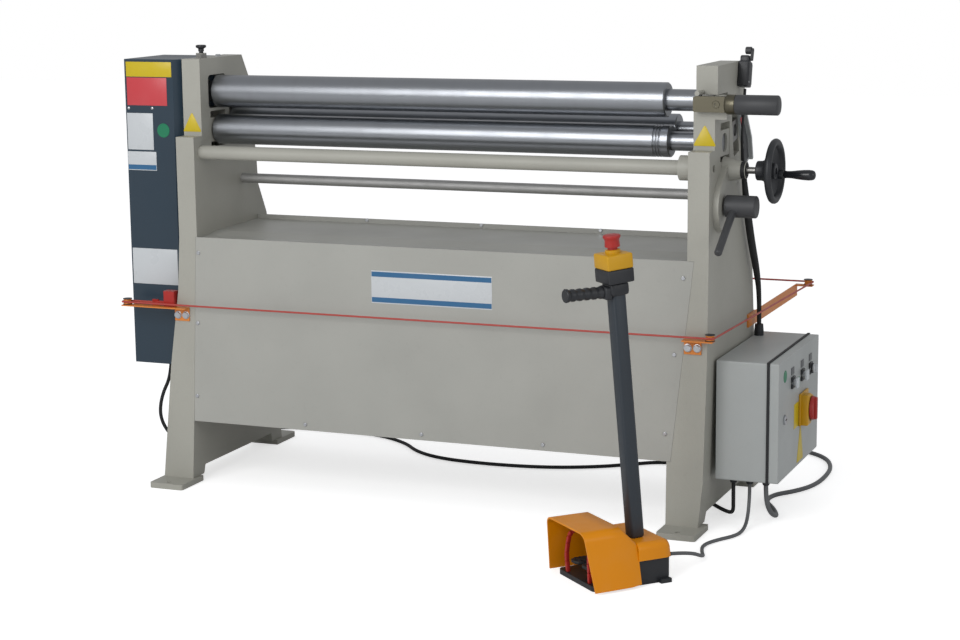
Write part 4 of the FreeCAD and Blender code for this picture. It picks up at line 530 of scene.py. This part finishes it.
class SLIPROLL_OT_stage(bpy.types.Operator):
    """Floor, backdrop, lights and camera"""

    bl_idname = "slip_roll.stage"
    bl_label = "Stage"

    def execute(self, context):
        sizes = context.scene.slip_roll_sizes
        part = bmesh.new()
        bmesh.ops.create_grid(part, x_segments=1, y_segments=1, size=14.0)
        mesh = bpy.data.meshes.new("Floor")
        part.to_mesh(mesh)
        part.free()
        floor = bpy.data.objects.new("Floor", mesh)
        floor.location.z = -FLOOR_DROP
        context.scene.collection.objects.link(floor)
        mesh.materials.append(self.floor_finish())
        self.world(context, sizes.sky)
        self.lamp(context, "Key", (-0.9, -5.2, 2.9), (0.0, -0.1, 0.6), 3.2, sizes.key_light)
        self.lamp(context, "Side", (5.2, -2.4, 2.2), (0.7, -0.1, 0.5), 2.4, sizes.fill_light)
        self.camera(context)
        context.scene.view_settings.view_transform = "Standard"
        return {"FINISHED"}

    def floor_finish(self):
        material = bpy.data.materials.new("Floor")
        material.use_nodes = True
        tree = material.node_tree
        shader = tree.nodes["Principled BSDF"]
        shader.inputs["Base Color"].default_value = (0.8, 0.8, 0.8, 1)
        shader.inputs["Roughness"].default_value = 0.8
        shader.inputs["Specular IOR Level"].default_value = 0.1
        rays = tree.nodes.new("ShaderNodeLightPath").outputs
        lift = math_node(tree, "MULTIPLY", rays["Is Camera Ray"], FLOOR_LIFT)
        tree.links.new(lift, shader.inputs["Emission Strength"])
        shader.inputs["Emission Color"].default_value = (1, 1, 1, 1)
        return material

    def world(self, context, strength):
        world = bpy.data.worlds.new("Studio")
        context.scene.world = world
        world.use_nodes = True
        tree = world.node_tree
        back = tree.nodes["Background"]
        back.inputs["Color"].default_value = (0.97, 0.98, 1.0, 1)
        back.inputs["Strength"].default_value = strength
        white = tree.nodes.new("ShaderNodeBackground")
        white.inputs["Color"].default_value = (1, 1, 1, 1)
        white.inputs["Strength"].default_value = 1.0
        rays = tree.nodes.new("ShaderNodeLightPath").outputs
        seen = math_node(tree, "MAXIMUM", rays["Is Camera Ray"], rays["Is Transmission Ray"])
        mix = tree.nodes.new("ShaderNodeMixShader")
        tree.links.new(seen, mix.inputs[0])
        tree.links.new(back.outputs[0], mix.inputs[1])
        tree.links.new(white.outputs[0], mix.inputs[2])
        tree.links.new(mix.outputs[0], tree.nodes["World Output"].inputs["Surface"])

    def lamp(self, context, name, place, target, size, power):
        light = bpy.data.lights.new(name, "AREA")
        light.shape = "SQUARE"
        light.size = size
        light.energy = power
        lamp = bpy.data.objects.new(name, light)
        lamp.location = place
        aim = Vector(target) - Vector(place)
        lamp.rotation_euler = aim.to_track_quat("-Z", "Y").to_euler()
        context.scene.collection.objects.link(lamp)

    def camera(self, context):
        turn, tilt, roll = (math.radians(v) for v in (CAMERA_TURN, CAMERA_TILT, CAMERA_ROLL))
        data = bpy.data.cameras.new("Camera")
        data.sensor_width = SENSOR_WIDTH
        data.lens = CAMERA_REACH * SENSOR_WIDTH
        data.clip_end = 60.0
        camera = bpy.data.objects.new("Camera", data)
        camera.matrix_world = (
            Matrix.Translation(CAMERA_PLACE) @ Matrix.Rotation(turn, 4, "Z")
            @ Matrix.Rotation(math.pi / 2 - tilt, 4, "X") @ Matrix.Rotation(roll, 4, "Z"))
        context.scene.collection.objects.link(camera)
        context.scene.camera = camera


# ---- cords
def resting(height, places):
    """Points of a route at one height above the floor."""
    return [(x, y, height) for x, y in places]


PEDAL_ROUTE = [
    (0.8535, -0.135, 0.106), (0.8535, -0.135, 0.062), (0.855, -0.160, 0.018),
    *resting(0.005, ((0.858, -0.205), (0.855, -0.262), (0.815, -0.324), (0.800, -0.375),
                     (0.815, -0.430))),
    (0.835, -0.480, 0.010), (0.818, -0.539, 0.036), (0.7817, -0.5794, 0.040)]
MOTOR_ROUTE = [
    (0.8115, -0.135, 0.106), (0.8115, -0.135, 0.060), (0.804, -0.106, 0.020),
    *resting(0.0055, (
        (0.778, -0.062), (0.728, -0.010), (0.665, 0.070), (0.625, 0.175), (0.595, 0.290),
        (0.545, 0.375), (0.460, 0.385), (0.385, 0.325), (0.314, 0.272), (0.210, 0.225),
        (0.103, 0.202), (-0.020, 0.196), (-0.145, 0.211), (-0.240, 0.262), (-0.310, 0.345),
        (-0.420, 0.410), (-0.560, 0.430), (-0.700, 0.425), (-0.815, 0.370), (-0.880, 0.270),
        (-0.905, 0.160))),
    (-0.922, 0.060, 0.030), (-0.915, -0.030, 0.110), (-0.870, -0.095, 0.195),
    (-0.812, -0.125, 0.275), (-0.812, -0.125, 0.3635)]
SUPPLY_ROUTE = [
    (0.8955, -0.135, 0.106), (0.8955, -0.135, 0.066), (0.903, -0.112, 0.026),
    *resting(0.0065, (
        (0.908, -0.062), (0.878, 0.012), (0.842, 0.072), (0.845, 0.140), (0.890, 0.195),
        (0.922, 0.265), (0.932, 0.360), (0.925, 0.480), (0.885, 0.585), (0.800, 0.650),
        (0.700, 0.665), (0.610, 0.640), (0.560, 0.560)))]


class SLIPROLL_OT_cables(bpy.types.Operator):
    """The pedal, motor and supply cables on the floor"""

    bl_idname = "slip_roll.cables"
    bl_label = "Cables"

    def execute(self, context):
        for name, route, diameter, length, finish, far, slot in (
                ("pedal_lead", PEDAL_ROUTE, 0.009, 0.549, "Grey sheath", "object", "cable_black"),
                ("motor_lead", MOTOR_ROUTE, 0.010, 2.880, "Black rubber", "object",
                 "cable_black"),
                ("supply_lead", SUPPLY_ROUTE, 0.012, 1.211, "Grey sheath", "bare",
                 "cable_grey")):
            lead = run_line(name, route, diameter, finish)
            settle(lead, "stand", (name.replace("lead", "cable"),))
        return {"FINISHED"}


# ---- plates
def label_plate(name, x0, x1, z0, z1, y, paint, bands=()):
    """Bare plate on a front face, with coloured bands given as (low, high) heights."""
    sizes = bpy.context.scene.slip_roll_sizes
    form = Form()
    form.block((x0, y - sizes.plate, z0), (x1, y + 0.2, z1), soft=0.3, steps=2)
    for low, high in bands:
        form.block((x0 + 1, y - sizes.plate - 0.15, low), (x1 - 1, y, high), soft=0.1,
                   steps=1, paint=1)
    form.finish(name, "stand", (paint, "Blue plate"))


class SLIPROLL_OT_plates(bpy.types.Operator):
    """Bare plates on the drive cover, the frame heads and the front panel"""

    bl_idname = "slip_roll.plates"
    bl_label = "Bare plates"

    def execute(self, context):
        for name, x0, x1, z0, z1, paint, bands in (
                ("cover_plate_upper", -868, -728, 1106, 1146, "Yellow plate", ()),
                ("cover_plate_red", -867, -744, 1029, 1104, "Red plate", ()),
                ("cover_plate_data", -870, -790, 909, 1008, "White plate", ()),
                ("cover_plate_maker", -872, -783, 853, 904, "White plate", ((855, 868),)),
                ("cover_plate_lower", -869, -729, 541, 639, "White plate", ())):
            label_plate(name, x0, x1, z0, z1, COVER_FRONT, paint, bands)
        label_plate("panel_plate", -127, 210, 534, 620, PANEL_FRONT, "White plate",
                    ((537, 550), (604, 617)))
        for name, x0, x1 in (("left_head_plate", -694, -642), ("right_head_plate", 725, 779)):
            form = Form()
            middle, y = (x0 + x1) / 2, HEAD_FRONT + 0.2
            form.plate([(x0, y, 962), (x1, y, 962), (x1, y, 966), (middle + 2, y, 1011),
                        (middle - 2, y, 1011), (x0, y, 966)], (0, -1.0, 0), soft=0.25)
            form.finish(name, "stand", ("Yellow plate",))
        turned_piece("cover_plate_round", "stand", "Green plastic",
                     [(0, 0), (0, 19), (1.0, 18.6), (1.0, 0)], (-758.5, COVER_FRONT, 962.5),
                     along=-Y)
        form = Form()
        for x, z in ((-864, 1021), (-791, 1022)):
            form.lathe([(0, 0), (0, 4.5), (1.2, 4.0), (2.0, 2.5), (2.2, 0)],
                       (x, COVER_FRONT, z), along=-Y, sides=20)
        form.lathe([(0, 0), (0, 8), (4, 8), (5, 7), (5, 0)], (-665, -70, FRAME_TOP), along=Z,
                   sides=6)
        form.finish("cover_screws", "stand", ("Zinc plating",))
        return {"FINISHED"}


# ---- release end
class SLIPROLL_OT_release(bpy.types.Operator):
    """Release grip with its ferrule, latch screws and the index plunger"""

    bl_idname = "slip_roll.release"
    bl_label = "Release grip and plunger"

    def execute(self, context):
        form = Form()
        axis = (807.5, -230, LATCH_HEIGHT)
        form.lathe([(0, 0), (0, 19.5), (1.5, 21), (6, 24), (25, 24), (25, 20), (25, 0)], axis,
                   paint=1)
        form.lathe([(25, 0), (25, 22.5), (27, 24), (128, 24.2), (130.5, 23), (132, 20.5),
                    (132, 0)], axis)
        form.finish("release_grip", "keeper", ("Black satin", "Oiled steel"),
                    ("keeper_grip",), "black_plastic")
        turned_piece("latch_screw", "stand", "Oiled steel",
                     [(0, 0), (0, 9.2), (3, 9.2), (3.6, 8.6), (3.6, 4.4), (1.0, 4.4), (1.0, 0)],
                     (LATCH_PIVOT_X, -238.6, LATCH_HEIGHT), along=-Y, sides=36)
        turned_piece("plunger_nut", "stand", "Turned steel",
                     [(0, 6.5), (0, 16.2), (11.5, 16.2), (13.1, 14.6), (13.1, 6.5)],
                     (*PLUNGER_PLACE, FRAME_TOP), along=Z, sides=6)
        turned_piece("plunger_pull", "plunger", "Black plastic",
                     [(-42, 0), (-42, 5.9), (4, 5.9), (4, 7.6), (11, 7.6), (12.5, 9.5),
                      (14.5, 13.4), (17, 14.2), (20, 13.6), (21.3, 11), (21.6, 0)],
                     (*PLUNGER_PLACE, FRAME_TOP + 13.5), along=Z,
                     stands_for=("plunger_knob",), slot="black_plastic")
        return {"FINISHED"}


class SLIPROLL_OT_handwheel(bpy.types.Operator):
    """Dished handwheel and its crank handle"""

    bl_idname = "slip_roll.handwheel"
    bl_label = "Handwheel"

    def execute(self, context):
        form = Form()
        form.lathe([(0, 8.6), (0, 22), (1.5, 24), (13, 24.4), (20, 27), (33, 60), (35, 66),
                    (35.5, 72), (38, 77), (42, 79.7), (46.5, 80), (50.5, 78), (52.8, 74),
                    (53, 69.5), (50.5, 65), (46, 62.2), (41, 60), (28, 30), (29, 23), (33, 20),
                    (46, 19), (48, 17), (48, 8.6)], WHEEL_HUB, sides=72)
        form.lathe([(33, 0), (33, 10.5), (50, 10.5), (51.5, 9.5), (51.5, 0)],
                   (WHEEL_HUB[0], *CRANK_PIN), sides=28)
        form.finish("wheel_dish", "handwheel", ("Black plastic",), ("handwheel",),
                    "black_plastic")
        turned_piece("wheel_crank", "crank", "Black gloss",
                     [(0, 4.2), (0, 8.6), (2, 9.4), (9, 8.8), (20, 9.3), (34, 11.2),
                      (50, 12.8), (62, 13.2), (71, 12.4), (75.5, 10.4), (78, 6.5), (78.2, 0)],
                     (912.8, *CRANK_PIN), sides=40, stands_for=("crank_handle",),
                     slot="black_plastic")
        return {"FINISHED"}


# ---- switch conduit
class SLIPROLL_OT_conduit(bpy.types.Operator):
    """Lead of the limit switch in its sleeve down to the control box"""

    bl_idname = "slip_roll.conduit"
    bl_label = "Switch conduit"

    def execute(self, context):
        route = [(0.7945, -0.006, 1.087), (0.7945, -0.016, 1.035), (0.7945, -0.030, 0.985),
                 (0.7945, -0.026, 0.925), (0.7945, -0.004, 0.860), (0.7945, 0.032, 0.770),
                 (0.7945, 0.074, 0.690), (0.7965, 0.122, 0.610), (0.7965, 0.156, 0.540),
                 (0.7965, 0.156, 0.461)]
        lead = run_line("switch_sleeve", route, 0.020, "Black rubber")
        girth = (0.36, 0.34, 0.32, 0.36, 0.7, 1.0, 1.0, 0.9, 0.6, 0.6)
        for point, share in zip(lead.data.splines[0].points, girth):
            point.radius = share
        settle(lead, "stand", ("switch_conduit",))
        return {"FINISHED"}


class SLIPROLL_OT_limit_switch(bpy.types.Operator):
    """Roller switch on the frame's edge, scale window and the shaft's seal"""

    bl_idname = "slip_roll.limit_switch"
    bl_label = "Limit switch and scale"

    def execute(self, context):
        lean = leaning((0, 0, 1125), -11.31)
        form = Form(lean)
        form.block((777.7, -18, 1091), (805.4, 20, 1155), soft=3.5)
        form.block((779.5, -10, 1150), (803.5, 12, 1169.8), soft=4.5)
        form.block((805.2, -14, 1098), (806.4, 16, 1149), soft=0.5, paint=1)
        for y, z in ((-10, 1102), (12, 1145)):
            form.rod((805, y, z), (807.2, y, z), 2.4, sides=16, soft=0.4, paint=2)
        form.rod((803, 1, 1164), (809.3, 1, 1164), 4.8, soft=0.4)
        form.finish("switch_case", "stand", ("Black plastic", "Black satin", "Zinc plating"),
                    ("limit_switch",), "black_plastic")
        form = Form(lean)
        form.plate([(804.6, -7, 1164), (804.6, -5, 1157.5), (804.6, 1, 1156),
                    (804.6, 7, 1157.5), (804.6, 9, 1164), (804.6, 12, 1183),
                    (804.6, 10, 1188), (804.6, 6, 1189), (804.6, 2, 1188),
                    (804.6, 0, 1183)], (4.8, 0, 0), soft=0.6)
        form.lathe([(0, 0), (0, 8.2), (1.2, 9.4), (14, 9.4), (15.2, 8.2), (15.2, 0)],
                   (789.6, 6, 1183), sides=36)
        form.finish("switch_roller", "switch_arm", ("Black satin",), ("switch_lever",),
                    "plain_steel")
        turned_piece("shaft_wiper", "stand", "Black rubber",
                     [(0, 9.2), (0, 21.2), (10.4, 21.2), (12.3, 19.4), (12.3, 9.2)],
                     (821.4, *WHEEL_HUB[1:]))
        form = Form()
        form.plate([(783.4, -3, 1027), (783.4, 7, 1027), (783.4, 61, 956), (783.4, 75, 908),
                    (783.4, 46, 894), (783.4, 29, 906), (783.4, 29, 942), (783.4, -6, 1003)],
                   (1.2, 0, 0), soft=0.3)
        form.plate([(784.4, -12, 1012), (784.4, 2, 1016), (784.4, 8, 1004), (784.4, 2, 992)],
                   (0.8, 0, 0), soft=0.2, paint=1)
        form.finish("scale_window", "stand", ("Black satin", "Red plate"))
        return {"FINISHED"}


# ---- control box
class SLIPROLL_OT_control_box(bpy.types.Operator):
    """Gasket, button bezels, caps and bare tabs of the control box"""

    bl_idname = "slip_roll.control_box"
    bl_label = "Control box fittings"

    def execute(self, context):
        form = Form()
        y0, y1, z0, z1 = -203.2, 217.2, 127.8, 431.2
        for low, high in (((913.7, y0, z0), (917.3, y0 + 12, z1)),
                          ((913.7, y1 - 12, z0), (917.3, y1, z1)),
                          ((913.7, y0, z0), (917.3, y1, z0 + 12)),
                          ((913.7, y0, z1 - 12), (917.3, y1, z1)),
                          ((911.5, y0 - 2.2, z0 - 2), (918.6, y0 + 0.4, z1 + 2)),
                          ((911.5, y0 - 2, z1 - 0.4), (918.6, y1 + 2, z1 + 2.2))):
            form.block(low, high, soft=0.3, steps=1)
        form.finish("door_seal", "stand", ("Black rubber",))
        form = Form()
        for y in (START_Y, STOP_Y, SELECTOR_Y):
            form.block((DOOR_FACE - 0.2, y - 15, 344), (DOOR_FACE + 5.2, y + 15, 374), soft=1.5)
            form.block((DOOR_FACE - 0.2, y - 14, 379), (DOOR_FACE + 1.6, y + 14, 397),
                       soft=0.4, paint=1)
        form.finish("button_bezels", "door", ("Black plastic", "Grey sheath"))
        stem = [(-8, 0), (-8, 8.6), (11, 8.6), (11, 0)]
        caps = (("start", START_Y, ((-78, -56, 17, 1.8, 0), (-57, -51.5, 16.4, 1.0, 1)),
                 ("White plastic", "Green plastic"), "green_plastic"),
                ("stop", STOP_Y, ((23, 49, 17, 1.8, 0),), ("White plastic",), "red_plastic"))
        for name, middle, fields, paints, slot in caps:
            form = Form()
            form.lathe(stem, (DOOR_FACE, middle, BUTTON_HEIGHT))
            for y0, y1, front, soft, paint in fields:
                form.block((DOOR_FACE + 10.4, y0, 346), (DOOR_FACE + front, y1, 372),
                           soft=soft, paint=paint)
            form.finish(name + "_cap", name, paints, (name + "_button",), slot)
        form = Form()
        knob = (DOOR_FACE, SELECTOR_Y, BUTTON_HEIGHT)
        form.lathe([(-8, 0), (-8, 8.6), (5.6, 8.6), (5.6, 13), (9, 13), (10, 12), (10, 0)], knob)
        form.lathe([(9, 0), (9, 11.4), (14, 11.2), (15, 10.2), (15, 0)], knob, paint=1)
        form.block((DOOR_FACE + 14, 120, 348), (DOOR_FACE + 20, 128, 370), soft=1.8, paint=1)
        form.finish("selector_knob", "selector", ("Black plastic", "White plastic"),
                    ("selector",), "black_plastic")
        turned_piece("door_plate_round", "door", "Green plastic",
                     [(0, 0), (0, 15.5), (0.8, 15.2), (0.8, 0)], (DOOR_FACE, -140, 388))
        form = Form()
        form.block((DOOR_FACE - 0.2, -42, 232), (DOOR_FACE + 0.8, 4, 296), soft=0.3)
        form.plate([(DOOR_FACE - 0.2, y, z) for y, z in ((-6, 136), (60, 136), (30, 226),
                                                         (24, 226))], (1.0, 0, 0), soft=0.25)
        form.finish("door_plates", "door", ("Yellow plate",))
        return {"FINISHED"}


class SLIPROLL_OT_main_switch(bpy.types.Operator):
    """Guard and handle of the main switch, and the door lock"""

    bl_idname = "slip_roll.main_switch"
    bl_label = "Main switch"

    def execute(self, context):
        form = Form()
        form.block((DOOR_FACE, 6, 229), (DOOR_FACE + 6, 90, 313), soft=2.0)
        form.block((DOOR_FACE + 4, 8, 231), (DOOR_FACE + 24, 46, 311), soft=3.0)
        form.lathe([(4, 30), (4, 36), (22, 36), (24, 34), (24, 30)], MAIN_SWITCH)
        form.finish("switch_guard", "door", ("Yellow plastic",), ("switch_body",),
                    "yellow_plastic")
        form = Form()
        form.lathe([(-10, 0), (-10, 7.5), (7, 7.5), (7, 26), (24.6, 26), (24.6, 30.5),
                    (31, 30.5), (33.5, 28.5), (33.5, 0)], MAIN_SWITCH)
        form.block((DOOR_FACE + 31, 41, 242), (DOOR_FACE + 39, 55, 300), soft=3)
        form.finish("switch_grip", "main_switch", ("Red plastic",), ("switch_handle",),
                    "red_plastic")
        form = Form()
        form.lathe([(-14, 0), (-14, 8.5), (0.4, 8.5), (0.4, 12), (4, 12), (5, 11), (5, 3),
                    (3.4, 2.6), (3.4, 0)], DOOR_LOCK)
        form.block((DOOR_FACE + 3, -150, 277.4), (DOOR_FACE + 5.3, -134, 280.6), soft=0.4,
                   paint=1)
        form.finish("lock_barrel", "lock", ("Zinc plating", "Black plastic"), ("door_lock",),
                    "plain_steel")
        return {"FINISHED"}


# ---- emergency rope
class SLIPROLL_OT_rope(bpy.types.Operator):
    """Emergency rope with its guide spools and bracket bolts"""

    bl_idname = "slip_roll.rope"
    bl_label = "Emergency rope"

    def execute(self, context):
        route = [(-0.784, -0.2608, 0.5), (-0.856, -0.2608, 0.5), (-0.8682, -0.2608, 0.5),
                 (-0.8682, -0.2852, 0.5), (-0.856, -0.2852, 0.5), (0.786, -0.2852, 0.5),
                 (0.7978, -0.2852, 0.5), (0.7982, -0.2734, 0.5), (0.8272, 0.6246, 0.5),
                 (0.8276, 0.6372, 0.5), (0.815, 0.6372, 0.5), (-0.801, 0.6372, 0.5)]
        rope = run_line("stop_rope", route, 0.005, "Rope sheath")
        settle(rope, "stand", ("safety_rope",))
        form = Form()
        for place in ROPE_GUIDES:
            form.lathe([(-8.3, 0), (-8.3, 12.4), (-6.5, 12.4), (-5.5, 9.2), (5.5, 9.2),
                        (6.5, 12.4), (8.3, 12.4), (8.3, 0)], (*place, ROPE_HEIGHT), along=Z)
        form.finish("rope_spools", "stand", ("Black plastic",))
        form = Form()
        for x in BRACKET_BOLT_PLACES:
            form.lathe([(-0.4, 0), (-0.4, 10.5), (1.2, 10.5), (1.6, 8.9), (5.6, 8.9),
                        (6.4, 8.0), (6.4, 0)], (x, -265, 470), along=-Y, sides=24)
        form.finish("bracket_bolts", "stand", ("Zinc plating",))
        return {"FINISHED"}


# ---- pedal stand
PEDAL = Matrix.Translation((602, -752, 0)) @ Matrix.Rotation(math.radians(-42), 4, "Z")
LEAN = PEDAL @ leaning((40, 149, 100), 5.1)


def arch(half_low, half_high, low, high, corner, steps=8):
    """Arch with round corners as (x, z) points from left foot to right foot."""
    points = [(-half_low, low)]
    for side in (-1, 1):
        turns = range(steps + 1)
        for k in (turns if side < 0 else reversed(turns)):
            angle = math.radians(90 * k / steps)
            points.append((side * (half_high - corner + corner * math.cos(angle)),
                           high - corner + corner * math.sin(angle)))
    points.append((half_low, low))
    return points


def shell(form, rings, wall, cap_back=False):
    """Skin over arches at growing depth; each ring is (depth at foot, depth at top, arch)."""
    part = bmesh.new()
    lines = []
    for foot, top, points in rings:
        low = min(z for x, z in points)
        high = max(z for x, z in points)
        lines.append([part.verts.new((x, foot + (top - foot) * (z - low) / (high - low), z))
                      for x, z in points])
    for near, far in zip(lines, lines[1:]):
        for a, b, c, d in zip(near, near[1:], far[1:], far):
            part.faces.new((a, b, c, d))
    if cap_back:
        part.faces.new(lines[-1])
    bmesh.ops.recalc_face_normals(part, faces=part.faces)
    bmesh.ops.solidify(part, geom=part.faces[:], thickness=wall)
    bmesh.ops.recalc_face_normals(part, faces=part.faces)
    form.add(part)


class SLIPROLL_OT_pedal(bpy.types.Operator):
    """Pedal hood, treadles and red bars"""

    bl_idname = "slip_roll.pedal"
    bl_label = "Foot pedal"

    def execute(self, context):
        form = Form(PEDAL)
        front = arch(113, 94, 6, 142, 24)
        middle = arch(112, 93, 6, 142, 24)
        back = arch(110, 92, 6, 142, 24)
        shoulder = arch(106, 90, 8, 101, 18)
        shell(form, [(-3, -22, front), (50, 40, middle), (96, 77, back), (121, 119, shoulder)],
              4.0)
        case = arch(97, 95, 60, 100, 18)
        shell(form, [(119, 119, case), (192, 192, case),
                     (205, 203, arch(92, 90, 60, 96, 16)),
                     (211, 208, arch(82, 80, 60, 88, 14))], 3.0, cap_back=True)
        form.finish("pedal_guard", "stand", ("Amber plastic",), ("pedal_hood",), "hood_orange",
                    sharp=50)
        for side, body in ((-1, "pedal_left"), (1, "pedal_right")):
            form = Form(PEDAL)
            x = 26 * side
            form.plate([(x - 20, 108, 38), (x - 20, 30, 38), (x - 17, 19, 38), (x - 9, 13, 38),
                        (x + 9, 13, 38), (x + 17, 19, 38), (x + 20, 30, 38),
                        (x + 20, 108, 38)], (0, 0, 8), soft=2.4, steps=3)
            for k in range(5):
                form.block((x - 16, 24 + 12 * k, 45), (x + 16, 29 + 12 * k, 47.6), soft=0.8)
            form.rod((x - 20.5, 112, 40), (x + 20.5, 112, 40), 8.2)
            form.finish(body + "_tread", body, ("Black rubber",), (body,), "black_plastic")
        form = Form(PEDAL)
        for side in (-1, 1):
            path = [(52 * side, 15, 11), (54 * side, 13, 36), (54 * side, 12, 58),
                    (52 * side, 14, 80), (49 * side, 16, 98), (47 * side, 21, 108),
                    (45 * side, 30, 112)]
            for start, end in zip(path, path[1:]):
                form.beam(start, end, 8, 10, 2.0)
        form.finish("pedal_red_bars", "stand", ("Red plastic",))
        return {"FINISHED"}


class SLIPROLL_OT_column(bpy.types.Operator):
    """Column with its grip and the emergency stop"""

    bl_idname = "slip_roll.column"
    bl_label = "Column and emergency stop"

    def execute(self, context):
        top, x, y = COLUMN_TOP, COLUMN_X, COLUMN_Y
        form = Form(LEAN)
        form.block((x - 17.5, y - 17.5, 99), (x + 17.5, y + 17.5, top), soft=7.5, steps=3)
        form.finish("stand_post", "stand", ("Slate enamel",))
        form = Form(LEAN)
        form.block((x - 24, y - 24, top - 30), (x + 24, y + 24, top + 1), soft=8)
        form.block((x - 33, y - 33, top), (x + 33, y + 33, top + 32), soft=3.5)
        form.block((x - 20, y - 36, top - 36), (x + 20, y - 18, top - 6), soft=6)
        grip = [(0, 0), (0, 12.5)]
        for k in range(5):
            start = 6 + 18 * k
            grip += [(start, 12.6), (start + 4, 14.4), (start + 10, 14.4), (start + 15, 12.6)]
        grip += [(98, 15.5), (103, 15.8), (104.5, 14.5), (104.5, 0)]
        form.lathe(grip, (x, y - 26, top - 20), along=(0, -0.9965, 0.083), sides=36)
        form.finish("post_head", "stand", ("Black plastic",), ("column",), "black_plastic")
        form = Form(LEAN)
        form.block((x - 33, y - 33, top + 31.6), (x + 33, y + 33, top + 66), soft=4)
        form.lathe([(65, 0), (65, 17.5), (73.5, 17.5), (74, 16.8), (74, 0)], (x, y, top),
                   along=Z)
        form.finish("stop_lid", "stand", ("Yellow plastic",), ("estop_box",), "yellow_plastic")
        form = Form(LEAN)
        form.lathe([(60, 0), (60, 11.5), (80.6, 11.5), (80.6, 17.5), (93, 16.6), (98, 17.5),
                    (101, 19.6), (104, 20.2), (106.5, 19.4), (107.5, 16), (107.8, 0)],
                   (x, y, top), along=Z)
        form.finish("stop_mushroom", "estop", ("Red plastic",), ("estop_button",),
                    "red_plastic")
        return {"FINISHED"}


def register():
    for kind in CLASSES:
        bpy.utils.register_class(kind)
    bpy.types.Scene.slip_roll_paints = bpy.props.PointerProperty(type=SlipRollPaints)
    bpy.types.Scene.slip_roll_sizes = bpy.props.PointerProperty(type=SlipRollSizes)


def unregister():
    del bpy.types.Scene.slip_roll_sizes
    del bpy.types.Scene.slip_roll_paints
    for kind in reversed(CLASSES):
        bpy.utils.unregister_class(kind)


class SLIPROLL_PT_panel(bpy.types.Panel):
    """Lists the machine's building steps"""

    bl_idname = "SLIPROLL_PT_panel"
    bl_label = "Slip Roll"
    bl_space_type = "VIEW_3D"
    bl_region_type = "UI"
    bl_category = "Slip Roll"

    def draw(self, context):
        layout = self.layout
        for kind in OPERATORS:
            layout.operator(kind.bl_idname)
        for group in (context.scene.slip_roll_sizes, context.scene.slip_roll_paints):
            box = layout.box()
            for key in group.bl_rna.properties.keys():
                if key not in ("rna_type", "name"):
                    box.prop(group, key)


OPERATORS = (SLIPROLL_OT_stage, SLIPROLL_OT_finishes, SLIPROLL_OT_plates, SLIPROLL_OT_release,
             SLIPROLL_OT_handwheel, SLIPROLL_OT_conduit, SLIPROLL_OT_limit_switch,
             SLIPROLL_OT_control_box, SLIPROLL_OT_main_switch, SLIPROLL_OT_rope,
             SLIPROLL_OT_pedal, SLIPROLL_OT_column, SLIPROLL_OT_cables)
CLASSES = (SlipRollPaints, SlipRollSizes, *OPERATORS, SLIPROLL_PT_panel)


def main():
    register()
    for kind in OPERATORS:
        family, step = kind.bl_idname.split(".")
        getattr(getattr(bpy.ops, family), step)()


if __name__ == "__main__":
    main()
